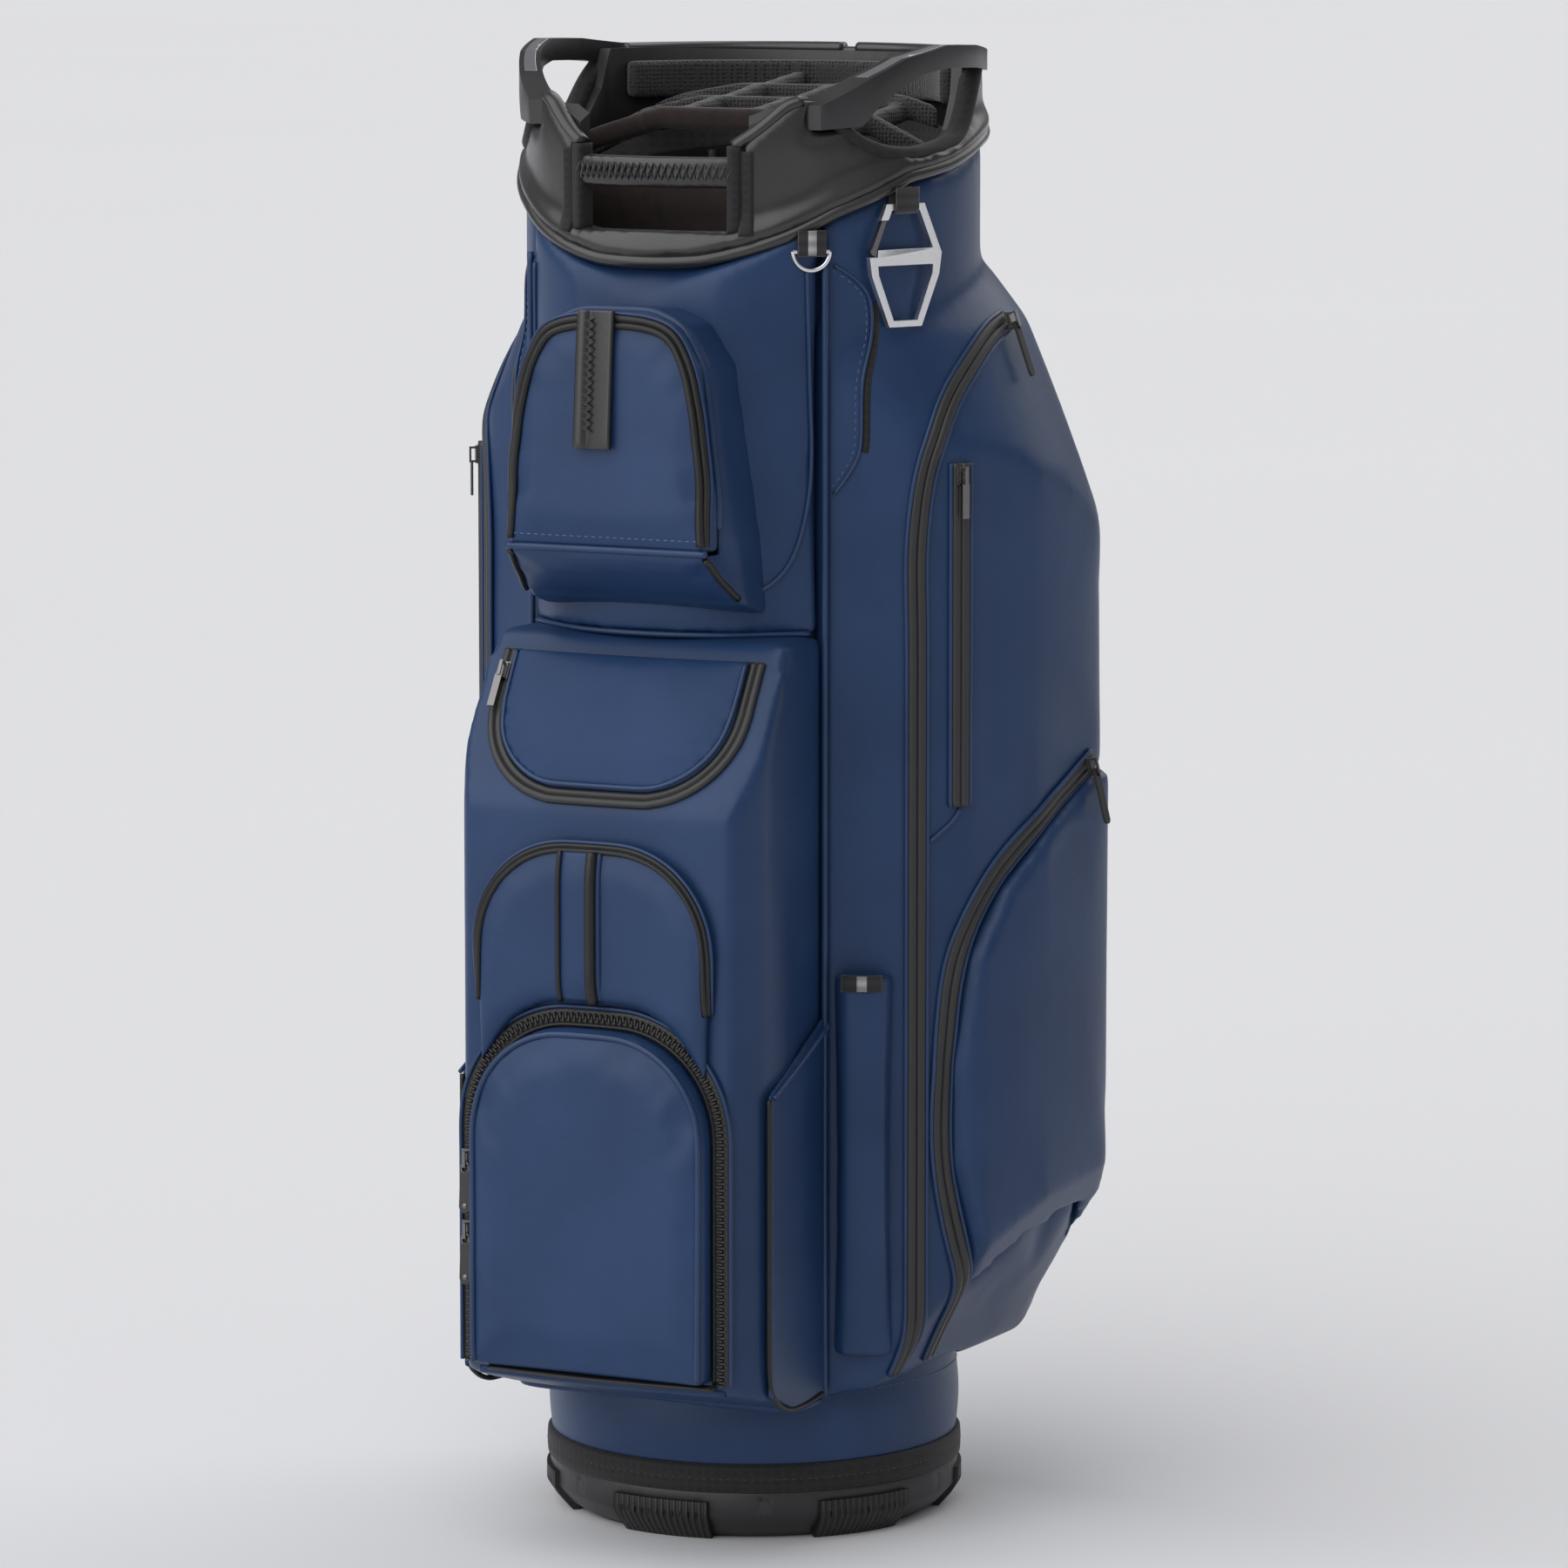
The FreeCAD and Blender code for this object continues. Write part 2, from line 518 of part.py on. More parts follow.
def build_ball_pocket():
    door = prism_xz(arch(BALL_HALF, *BALL_Z, BALL_CORNER), BALL_FRONT, COLUMN_Y - 2 * GAP)
    hollow = prism_xz(arch(BALL_HALF - 3, BALL_Z[0] + 3, BALL_Z[1] - 3, BALL_CORNER - 3), BALL_FRONT + 3, COLUMN_Y)
    save("ball_door", door.cut(hollow))
    inner_half = BALL_HALF + 0.6
    outer = arch(inner_half + ZIP_W, BALL_Z[0], BALL_Z[1] + 0.6 + ZIP_W, BALL_CORNER + ZIP_W)
    inner = arch(inner_half, BALL_Z[0] - 5, BALL_Z[1] + 0.6, BALL_CORNER)
    front, back = COLUMN_Y - ZIP_PROUD, COLUMN_Y - GAP
    save("ball_zip", prism_xz(outer, front, back).cut(prism_xz(inner, front - 1, back + 1)))
    pocket = prism_xz(arch(ARCH_HALF, *ARCH_Z, BALL_CORNER), COLUMN_Y - ARCH_PROUD, COLUMN_Y - GAP)
    save("arch_pocket", largest(pocket.cut(prism_xz(grow(outer, GAP), front - 5, 0))))
    strap_back = COLUMN_Y - ARCH_PROUD - GAP
    save("centre_strap", box(*STRAP_X, strap_back - WALL, strap_back, *STRAP_Z))


def build_column():
    outer = column_volume(0)
    core = Part.makeCylinder(CORE_R, 1000)
    cavity = column_volume(WALL)
    door_way = prism_xz(arch(BALL_HALF - 6, BALL_Z[0] + 6, BALL_Z[1] - 6, BALL_CORNER - 6), COLUMN_Y - 5, -200)
    flap_way = on_slope(bowl(QUICK_HALF - 8, QUICK_S[0] + 8, QUICK_S[1] - 8, 46), -8, 5)
    column = outer.cut(cavity).cut(door_way).cut(flap_way).cut(core)
    save("front_column", largest(column))
    shelves = [cavity.common(box(-200, 200, -300, 0, z, z + WALL)).cut(core) for z in SHELVES_Z]
    save("pocket_shelves", *shelves)
    rod = Part.makeCylinder(PIPING_R, PIPING_Z[1] - PIPING_Z[0], Vector(*PIPING_AT, PIPING_Z[0]))
    save("column_piping", *pair(rod))


def build_quick_pocket():
    flap = on_slope(bowl(QUICK_HALF, *QUICK_S, 54), 2 * GAP, 6.0)
    save("quick_flap", flap)
    outer = bowl(QUICK_HALF + 0.6 + ZIP_W, QUICK_S[0] - 0.6 - ZIP_W, QUICK_S[1], 54 + ZIP_W)
    inner = bowl(QUICK_HALF + 0.6, QUICK_S[0] - 0.6, QUICK_S[1] + 5, 54)
    save("quick_zip", on_slope(outer, GAP, 3.2).cut(on_slope(inner, -1, 5)))


def build_front_panel():
    panel = front_volume(0).common(under(SEAM, 2 * GAP)).cut(Part.makeCylinder(CORE_R, 1000))
    save("front_panel", panel)
    pocket = finder_volume(0).cut(front_volume(GAP))
    cavity = finder_volume(WALL).cut(front_volume(GAP))
    mouth = box(-200, 200, -260, FINDER_SPLIT, FINDER_SEAM_Z, 900)
    shell = pocket.cut(cavity)
    save("finder_lid", largest(shell.common(mouth)))
    mouth_clear = box(-200, 200, -260, FINDER_SPLIT + GAP, FINDER_SEAM_Z - GAP, 900)
    save("finder_pocket", largest(shell.cut(mouth_clear)))
    tab = prism_yz([(-194.2, 776), (-198.2, 776), (-204.6, 697), (-199.4, 697)], -19, 7)
    save("finder_tab", tab.cut(finder_volume(-GAP)))


# ---- zips and hardware --------------------------------------------------------------------------------------
def placed(shape, origin, normal, down=(0, 0, -1)):
    """Lays a piece drawn with +X out of the surface and -Z down its pull onto a point of the surface."""
    x = Vector(*normal).normalize()
    z = Vector(*down) * -1
    z = (z - x * z.dot(x)).normalize()
    y = z.cross(x)
    m = FreeCAD.Matrix(x.x, y.x, z.x, origin[0], x.y, y.y, z.y, origin[1], x.z, y.z, z.z, origin[2], 0, 0, 0, 1)
    return shape.transformGeometry(m)


def slider():
    """A zip slider: two plates with the neck between them, and the bail that holds the pull."""
    plates = box(0, 1.2, -4, 4, -6, 6).fuse(box(1.2, 2.6, -3, 3, -5.4, 5.4))
    bail = box(2.6, 6.4, -1.1, 1.1, -5.0, 5.0).cut(box(2.4, 5.2, -2, 2, -3.8, 3.8))
    return plates.fuse(bail).removeSplitter()


def pull(length, width):
    """A zip pull: an eye that hangs on the bail, and the tab below it."""
    thick = 1.6
    eye = box(3.0, 4.8, -3.2, 3.2, -8.4, -1.6).cut(box(2.0, 6.0, -1.6, 1.6, -6.9, -3.0))
    tab = box(3.9 - thick / 2, 3.9 + thick / 2, -width / 2, width / 2, -8.4 - length, -8.4)
    end = Part.makeCylinder(width / 2, thick, Vector(3.9 - thick / 2, 0, -8.4 - length), Vector(1, 0, 0))
    return eye.fuse(tab).fuse(end).removeSplitter()


def welded_slider():
    """The slim slider of a welded zip, with its short pull moulded on."""
    return slider().fuse(box(4.2, 5.6, -2.4, 2.4, -26, -4.4)).removeSplitter()


def build_sliders():
    for name, z in BALL_SLIDERS.items():
        origin = (BALL_SLIDER_X, COLUMN_Y - ZIP_PROUD - 0.6, z)
        save(f"ball_slider_{name}", placed(slider(), origin, (0, -1, 0)))
        save(f"ball_pull_{name}", placed(pull(22, 8.4), origin, (0, -1, 0)))
    for side, sign in SIDES.items():
        for name, ((x, y, z), (nx, ny, nz)) in SIDE_SLIDERS.items():
            save(f"{name}_slider_{side}", placed(slider(), (sign * x, y, z), (sign * nx, ny, nz)))
            save(f"{name}_pull_{side}", placed(pull(26, 6.4), (sign * x, y, z), (sign * nx, ny, nz)))
        (x, y, z), (nx, ny, nz) = UPRIGHT_SLIDER
        save(f"upright_slider_{side}", placed(welded_slider(), (sign * x, y, z), (sign * nx, ny, nz)))
    on = slope_place().multVec(Vector(*QUICK_SLIDER))
    d = Vector(0, SLOPE_LOW[0] - SLOPE_HIGH[0], SLOPE_LOW[1] - SLOPE_HIGH[1])
    save("quick_slider", placed(welded_slider(), (on.x, on.y, on.z), (0, d.z, -d.y), (d.x, d.y, d.z)))


def webbing_loop(bearing, bar, inner_r, width, z_top):
    """A folded webbing loop round a bar: two plies, the turn under the bar and the joined top."""
    r, z = bar
    thick = 1.4
    outer_r = inner_r + thick
    plies = box(r - outer_r, r - inner_r, -width / 2, width / 2, z, z_top)
    plies = plies.fuse(box(r + inner_r, r + outer_r, -width / 2, width / 2, z, z_top))
    plies = plies.fuse(box(r - outer_r, r + outer_r, -width / 2, width / 2, z_top - 1.6, z_top))
    turn = Part.makeCylinder(outer_r, width, Vector(r, -width / 2, z), Vector(0, 1, 0))
    turn = turn.cut(Part.makeCylinder(inner_r, width + 2, Vector(r, -width / 2 - 1, z), Vector(0, 1, 0)))
    turn = turn.common(box(r - 20, r + 20, -width, width, z - 20, z))
    loop = plies.fuse(turn).removeSplitter()
    loop.rotate(Vector(0, 0, 0), Vector(0, 0, 1), bearing - 90)
    return loop


def d_ring(wire=1.5, half=11.5):
    """A D-ring that hangs from its straight bar, drawn about the bar's middle."""
    bar = Part.makeCylinder(wire, half * 2, Vector(0, -half, 0), Vector(0, 1, 0))
    bow = Part.makeTorus(half, wire, Vector(0, 0, 0), Vector(1, 0, 0))
    bow = bow.common(box(-5, 5, -20, 20, -20, 0))
    return bar.fuse(bow).removeSplitter()


def plate(points):
    return prism_yz(points, -CLIP_T / 2, CLIP_T / 2)


def clip_body():
    """The flat clip, drawn about its top bar: an upper eye, a cross bar and a tapered lower frame."""
    body = plate([(-15, 2), (15, 2), (29, -29), (27, -42), (13, -74), (-13, -74), (-27, -42), (-29, -29)])
    for hole in ([(-11, -2), (11, -2), (22, -26), (-22, -26)],
                 [(-22, -36), (22, -36), (21.5, -41.5), (9.5, -70), (-9.5, -70), (-21.5, -41.5)]):
        body = body.cut(prism_yz(hole, -5, 5))
    gap = [(-40, -8), (-12, -8), (-22, -26), (-22, -30.4), (-40, -30.4)]
    return largest(body.cut(prism_yz(gap, -5, 5)))


def clip_gate():
    """The sprung gate that closes the upper eye; it turns about its lower end."""
    half = CLIP_T / 2 - 0.4
    bar = prism_yz([(-15.2, -8.5), (-18.8, -8.5), (-27.3, -26.6), (-23.0, -26.6)], -half, half)
    knuckle = Part.makeCylinder(2.4, 2 * half, Vector(-half, -25.1, -27.0), Vector(1, 0, 0))
    return bar.fuse(knuckle).removeSplitter()


def hung(shape, bearing, bar):
    x, y = at(bearing, 1)
    return placed(shape, (x * bar[0], y * bar[0], bar[1]), (x, y, 0))


def build_hardware():
    save("ring_webbing", webbing_loop(RING_BEARING, RING_BAR, 1.8, 18, 825))
    save("d_ring", hung(d_ring(), RING_BEARING, RING_BAR))
    save("clip_webbing", webbing_loop(CLIP_BEARING, CLIP_BAR, 3.0, 18, 850))
    save("towel_clip", hung(clip_body(), CLIP_BEARING, CLIP_BAR))
    save("clip_gate", hung(clip_gate(), CLIP_BEARING, CLIP_BAR))


# ---- build --------------------------------------------------------------------------------------------------
def build_core(screws):
    save("base_shell", base_shell(screws))
    save("foot_pads", *foot_pads())
    save("binding_band", ring(COVER_R[0], BAND_R, FOOT_H + GAP, BAND_TOP))
    tube = ring(TUBE_R[0], TUBE_R[1], STEP_Z + GAP, 900).common(under(TUBE_TOP))
    for screw in screws:
        tube = tube.cut(screw)
    save("tube_shell", tube)
    save("tube_cover", ring(COVER_R[0], COVER_R[1], BAND_TOP + GAP, 900).common(under(SEAM, 2 * GAP)))
    save("stay_rods", *stays())
    save("slot_sheets", *slot_sheets())
    save("divider_bars", *divider_bars())
    save("rear_rim", rear_rim())
    save("back_panel", box(-BACK_HALF, BACK_HALF, CORE_R, BACK_Y, *BACK_Z))


def main():
    os.makedirs("parts", exist_ok=True)
    screws = base_screws()
    build_core(screws)
    save("fasteners", *screws, *top_assembly())
    build_sides()
    build_column()
    build_ball_pocket()
    build_quick_pocket()
    build_front_panel()
    build_sliders()
    build_hardware()


main()
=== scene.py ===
import math

import bmesh
import bpy
import numpy as np
from mathutils import Matrix, Vector
from mathutils.bvhtree import BVHTree


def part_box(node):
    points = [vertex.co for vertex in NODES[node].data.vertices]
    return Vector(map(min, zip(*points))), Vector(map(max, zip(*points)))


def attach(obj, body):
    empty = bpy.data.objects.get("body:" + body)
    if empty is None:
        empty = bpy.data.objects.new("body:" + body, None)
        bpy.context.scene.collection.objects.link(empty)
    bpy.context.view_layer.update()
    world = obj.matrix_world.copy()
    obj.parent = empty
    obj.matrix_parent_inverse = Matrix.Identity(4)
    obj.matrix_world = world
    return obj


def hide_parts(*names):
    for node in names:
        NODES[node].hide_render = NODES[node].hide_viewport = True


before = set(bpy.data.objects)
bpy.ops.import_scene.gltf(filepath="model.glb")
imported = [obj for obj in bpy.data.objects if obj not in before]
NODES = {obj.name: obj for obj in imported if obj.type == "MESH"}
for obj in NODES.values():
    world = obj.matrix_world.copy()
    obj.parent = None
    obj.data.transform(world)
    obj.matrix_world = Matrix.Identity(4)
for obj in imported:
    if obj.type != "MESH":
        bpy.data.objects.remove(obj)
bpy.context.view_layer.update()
MM = 0.001


# ---- materials ----------------------------------------------------------------------------------------------
def material(name):
    mat = bpy.data.materials.new(name)
    mat.use_nodes = True
    tree = mat.node_tree
    return mat, tree, tree.nodes["Principled BSDF"]


def node(tree, kind, **values):
    made = tree.nodes.new(kind)
    for key, value in values.items():
        if key in made.inputs:
            made.inputs[key].default_value = value
        else:
            setattr(made, key, value)
    return made


def place(tree, scale=(1, 1, 1)):
    """Object coordinates, in metres."""
    coords = node(tree, "ShaderNodeTexCoord")
    mapping = node(tree, "ShaderNodeMapping")
    mapping.inputs["Scale"].default_value = scale
    tree.links.new(coords.outputs["Object"], mapping.inputs["Vector"])
    return mapping.outputs["Vector"]


def ramp(tree, source, low, high, a, b):
    made = node(tree, "ShaderNodeMapRange")
    made.inputs["From Min"].default_value = low
    made.inputs["From Max"].default_value = high
    made.inputs["To Min"].default_value = a
    made.inputs["To Max"].default_value = b
    tree.links.new(source, made.inputs["Value"])
    return made.outputs["Result"]


def mix(tree, factor, a, b):
    made = node(tree, "ShaderNodeMix", data_type="RGBA")
    tree.links.new(factor, made.inputs[0])
    made.inputs[6].default_value = (*a, 1)
    made.inputs[7].default_value = (*b, 1)
    return made.outputs[2]


def bump(tree, bsdf, layers):
    """Stacks (height, strength, distance in metres) layers into the shader's normal."""
    normal = None
    for height, strength, distance in layers:
        made = node(tree, "ShaderNodeBump", Strength=strength, Distance=distance)
        tree.links.new(height, made.inputs["Height"])
        if normal is not None:
            tree.links.new(normal, made.inputs["Normal"])
        normal = made.outputs["Normal"]
    tree.links.new(normal, bsdf.inputs["Normal"])


def convex_edges_and_crease_shade(tree, amount=1.0):
    """Brighter on convex edges, darker in creases; the darkening in creases is painted shade."""
    geometry = node(tree, "ShaderNodeNewGeometry")
    return ramp(tree, geometry.outputs["Pointiness"], 0.46, 0.56, 0.0, amount)


def leather(name, dark, light, rough, grain=1150.0, depth=0.00010, sheen=0.0, coat=0.0, gloss=0.4):
    mat, tree, bsdf = material(name)
    vec = place(tree)
    cells = node(tree, "ShaderNodeTexVoronoi", Scale=grain, feature="F1")
    fine = node(tree, "ShaderNodeTexNoise", Scale=grain * 2.2, Detail=4.0)
    broad = node(tree, "ShaderNodeTexNoise", Scale=14.0, Detail=3.0)
    creases = node(tree, "ShaderNodeTexNoise", Scale=55.0, Detail=5.0, Distortion=0.8)
    for made in (cells, fine, broad, creases):
        tree.links.new(vec, made.inputs["Vector"])
    tone = ramp(tree, broad.outputs["Fac"], 0.3, 0.7, 0.0, 1.0)
    tree.links.new(mix(tree, tone, dark, light), bsdf.inputs["Base Color"])
    tree.links.new(ramp(tree, fine.outputs["Fac"], 0.2, 0.8, rough - 0.05, rough + 0.07), bsdf.inputs["Roughness"])
    bsdf.inputs["Specular IOR Level"].default_value = gloss
    bsdf.inputs["Sheen Weight"].default_value = sheen
    bsdf.inputs["Sheen Roughness"].default_value = 0.5
    bsdf.inputs["Coat Weight"].default_value = coat
    bsdf.inputs["Coat Roughness"].default_value = 0.35
    bump(tree, bsdf, [(creases.outputs["Fac"], 0.16, 0.0012), (cells.outputs["Distance"], 0.45, depth),
                      (fine.outputs["Fac"], 0.2, depth * 0.5)])
    return mat


def moulded(name, colour, rough, scale=900.0, depth=0.00006):
    mat, tree, bsdf = material(name)
    vec = place(tree)
    speck = node(tree, "ShaderNodeTexNoise", Scale=scale, Detail=3.0)
    patch = node(tree, "ShaderNodeTexNoise", Scale=22.0, Detail=4.0)
    for made in (speck, patch):
        tree.links.new(vec, made.inputs["Vector"])
    light = tuple(c * 1.5 + 0.006 for c in colour)
    tone = node(tree, "ShaderNodeMath", operation="ADD", use_clamp=True)
    tree.links.new(ramp(tree, patch.outputs["Fac"], 0.35, 0.75, 0.0, 0.5), tone.inputs[0])
    # Lighter on convex edges and darker in creases: the crease darkening is painted shade.
    tree.links.new(convex_edges_and_crease_shade(tree, 0.5), tone.inputs[1])
    tree.links.new(mix(tree, tone.outputs[0], colour, light), bsdf.inputs["Base Color"])
    tree.links.new(ramp(tree, patch.outputs["Fac"], 0.3, 0.7, rough - 0.05, rough + 0.08), bsdf.inputs["Roughness"])
    bump(tree, bsdf, [(speck.outputs["Fac"], 0.35, depth)])
    return mat


def ribbed_rubber(name, colour, ribs):
    """Rubber with upright ribs all round the foot; its colour is painted shade in the grooves and a painted highlight
    on the crests.
    """
    mat, tree, bsdf = material(name)
    split = node(tree, "ShaderNodeSeparateXYZ")
    tree.links.new(place(tree), split.inputs[0])
    bearing = node(tree, "ShaderNodeMath", operation="ARCTAN2")
    tree.links.new(split.outputs["X"], bearing.inputs[0])
    tree.links.new(split.outputs["Y"], bearing.inputs[1])
    turns = node(tree, "ShaderNodeMath", operation="MULTIPLY")
    tree.links.new(bearing.outputs[0], turns.inputs[0])
    turns.inputs[1].default_value = ribs
    wave = node(tree, "ShaderNodeMath", operation="SINE")
    tree.links.new(turns.outputs[0], wave.inputs[0])
    rib = ramp(tree, wave.outputs[0], -0.6, 0.6, 0.0, 1.0)
    speck = node(tree, "ShaderNodeTexNoise", Scale=700.0, Detail=3.0)
    tree.links.new(place(tree), speck.inputs["Vector"])
    light = tuple(c * 1.9 for c in colour)
    # Colour runs from painted shade in the rib grooves to a painted highlight on the rib crests.
    tree.links.new(mix(tree, rib, tuple(c * 0.4 for c in colour), light), bsdf.inputs["Base Color"])
    bsdf.inputs["Roughness"].default_value = 0.55
    bump(tree, bsdf, [(rib, 1.0, 0.0016), (speck.outputs["Fac"], 0.3, 0.0001)])
    return mat


def woven(name, dark, light, pitch=0.0009, rough=0.8, sheen=0.35):
    """A plain weave: two crossed sets of threads."""
    mat, tree, bsdf = material(name)
    turns = 1.0 / pitch
    threads = []
    for direction in ("X", "Z"):
        wave = node(tree, "ShaderNodeTexWave", Scale=turns / 20.0, Distortion=0.4, Detail=1.0)
        wave.bands_direction = direction
        tree.links.new(place(tree), wave.inputs["Vector"])
        threads.append(wave.outputs["Fac"])
    both = node(tree, "ShaderNodeMath", operation="MAXIMUM")
    tree.links.new(threads[0], both.inputs[0])
    tree.links.new(threads[1], both.inputs[1])
    tree.links.new(mix(tree, both.outputs[0], dark, light), bsdf.inputs["Base Color"])
    bsdf.inputs["Roughness"].default_value = rough
    bsdf.inputs["Sheen Weight"].default_value = sheen
    bump(tree, bsdf, [(both.outputs[0], 0.6, 0.00025)])
    return mat


def airmesh(name, dark, light, cell=0.0026):
    """Honeycomb spacer mesh: rounded holes in a lattice of yarn."""
    mat, tree, bsdf = material(name)
    vec = place(tree)
    holes = node(tree, "ShaderNodeTexVoronoi", Scale=1.0 / cell, feature="F1", Randomness=0.25)
    yarn = node(tree, "ShaderNodeTexNoise", Scale=2600.0, Detail=2.0)
    for made in (holes, yarn):
        tree.links.new(vec, made.inputs["Vector"])
    wall = ramp(tree, holes.outputs["Distance"], 0.22, 0.5, 0.0, 1.0)
    tree.links.new(mix(tree, wall, dark, light), bsdf.inputs["Base Color"])
    bsdf.inputs["Roughness"].default_value = 0.85
    bsdf.inputs["Sheen Weight"].default_value = 0.25
    bump(tree, bsdf, [(wall, 0.9, 0.0007), (yarn.outputs["Fac"], 0.3, 0.0001)])
    return mat


def velour(name, dark, light):
    mat, tree, bsdf = material(name)
    vec = place(tree)
    nap = node(tree, "ShaderNodeTexNoise", Scale=60.0, Detail=4.0, Distortion=1.2)
    pile = node(tree, "ShaderNodeTexNoise", Scale=3000.0, Detail=2.0)
    for made in (nap, pile):
        tree.links.new(vec, made.inputs["Vector"])
    tone = ramp(tree, nap.outputs["Fac"], 0.3, 0.7, 0.0, 1.0)
    tree.links.new(mix(tree, tone, dark, light), bsdf.inputs["Base Color"])
    bsdf.inputs["Roughness"].default_value = 0.95
    bsdf.inputs["Sheen Weight"].default_value = 0.2
    bump(tree, bsdf, [(nap.outputs["Fac"], 0.2, 0.001), (pile.outputs["Fac"], 0.5, 0.0002)])
    return mat


def metal(name, colour, rough, brushed=0.0):
    mat, tree, bsdf = material(name)
    grain = node(tree, "ShaderNodeTexNoise", Scale=1.0, Detail=3.0)
    tree.links.new(place(tree, (300, 300, 6000) if brushed else (900, 900, 900)), grain.inputs["Vector"])
    convex_edge_tone = tuple(min(1.0, c * 1.12) for c in colour)
    # Base colour lighter on convex edges and darker in creases: painted shade in the creases.
    tree.links.new(mix(tree, convex_edges_and_crease_shade(tree), colour, convex_edge_tone), bsdf.inputs["Base Color"])
    bsdf.inputs["Metallic"].default_value = 1.0
    tree.links.new(ramp(tree, grain.outputs["Fac"], 0.3, 0.7, rough, rough + 0.12), bsdf.inputs["Roughness"])
    bump(tree, bsdf, [(grain.outputs["Fac"], 0.1 + brushed, 0.00004)])
    return mat


def ribbed_webbing(name, dark, light):
    mat, tree, bsdf = material(name)
    rib = node(tree, "ShaderNodeTexWave", Scale=45.0, Distortion=0.2)
    rib.bands_direction = "Z"
    fuzz = node(tree, "ShaderNodeTexNoise", Scale=2400.0, Detail=2.0)
    for made in (rib, fuzz):
        tree.links.new(place(tree), made.inputs["Vector"])
    tree.links.new(mix(tree, rib.outputs["Fac"], dark, light), bsdf.inputs["Base Color"])
    bsdf.inputs["Roughness"].default_value = 0.8
    bsdf.inputs["Sheen Weight"].default_value = 0.3
    bump(tree, bsdf, [(rib.outputs["Fac"], 0.6, 0.0004), (fuzz.outputs["Fac"], 0.3, 0.0001)])
    return mat


def floor_material():
    mat, tree, bsdf = material("floor_paint")
    soft = node(tree, "ShaderNodeTexNoise", Scale=0.35, Detail=2.0)
    tree.links.new(place(tree), soft.inputs["Vector"])
    tree.links.new(mix(tree, soft.outputs["Fac"], (0.725, 0.725, 0.743), (0.745, 0.745, 0.763)), bsdf.inputs["Base Color"])
    bsdf.inputs["Roughness"].default_value = 0.9
    bsdf.inputs["Specular IOR Level"].default_value = 0.1
    return mat


MATS = {
    "navy": leather("navy_leather", (0.0120, 0.0350, 0.096), (0.0175, 0.0455, 0.121), 0.38, coat=0.06, gloss=0.27),
    "deep": leather("deep_navy_leather", (0.0125, 0.0360, 0.100), (0.0165, 0.0440, 0.120), 0.46, gloss=0.2),
    "navy_edge": leather("navy_piping", (0.0120, 0.033, 0.091), (0.0175, 0.045, 0.119), 0.33, grain=1500.0),
    "black": leather("black_leather", (0.012, 0.012, 0.0125), (0.021, 0.0205, 0.021), 0.29, grain=1500.0,
                     depth=0.00005, coat=0.35, gloss=0.5),
    "black_edge": leather("black_edge_leather", (0.008, 0.008, 0.009), (0.015, 0.015, 0.016), 0.4, grain=1500.0),
    "foot": moulded("foot_plastic", (0.013, 0.013, 0.014), 0.42),
    "pad": moulded("pad_rubber", (0.011, 0.011, 0.011), 0.62, scale=500.0, depth=0.00012),
    "ribs": ribbed_rubber("ribbed_rubber", (0.012, 0.012, 0.012), 200.0),
    "handle": moulded("handle_plastic", (0.014, 0.014, 0.015), 0.36),
    "tape": moulded("zip_tape", (0.014, 0.014, 0.015), 0.45, scale=1600.0),
    "teeth": moulded("zip_teeth", (0.026, 0.025, 0.024), 0.28),
    "binding": woven("binding_tape", (0.003, 0.003, 0.003), (0.009, 0.009, 0.010), sheen=0.1),
    "lining": woven("pocket_lining", (0.008, 0.008, 0.009), (0.02, 0.02, 0.022)),
    "webbing": ribbed_webbing("black_webbing", (0.005, 0.005, 0.006), (0.016, 0.016, 0.017)),
    "stripe": ribbed_webbing("grey_stripe", (0.20, 0.20, 0.21), (0.36, 0.36, 0.37)),
    "mesh": airmesh("padded_mesh", (0.003, 0.003, 0.003), (0.022, 0.022, 0.023)),
    "velour": velour("brown_velour", (0.006, 0.003, 0.002), (0.020, 0.010, 0.007)),
    "chrome": metal("polished_metal", (0.72, 0.72, 0.74), 0.10),
    "nickel": metal("dark_nickel", (0.17, 0.165, 0.165), 0.24),
    "aluminium": metal("satin_aluminium", (0.80, 0.80, 0.81), 0.26, brushed=0.2),
    "steel": metal("screw_steel", (0.25, 0.25, 0.26), 0.3),
    "navy_thread": woven("navy_thread", (0.03, 0.07, 0.16), (0.07, 0.13, 0.26), pitch=0.0004),
    "black_thread": woven("black_thread", (0.004, 0.004, 0.004), (0.02, 0.02, 0.02), pitch=0.0004),
}

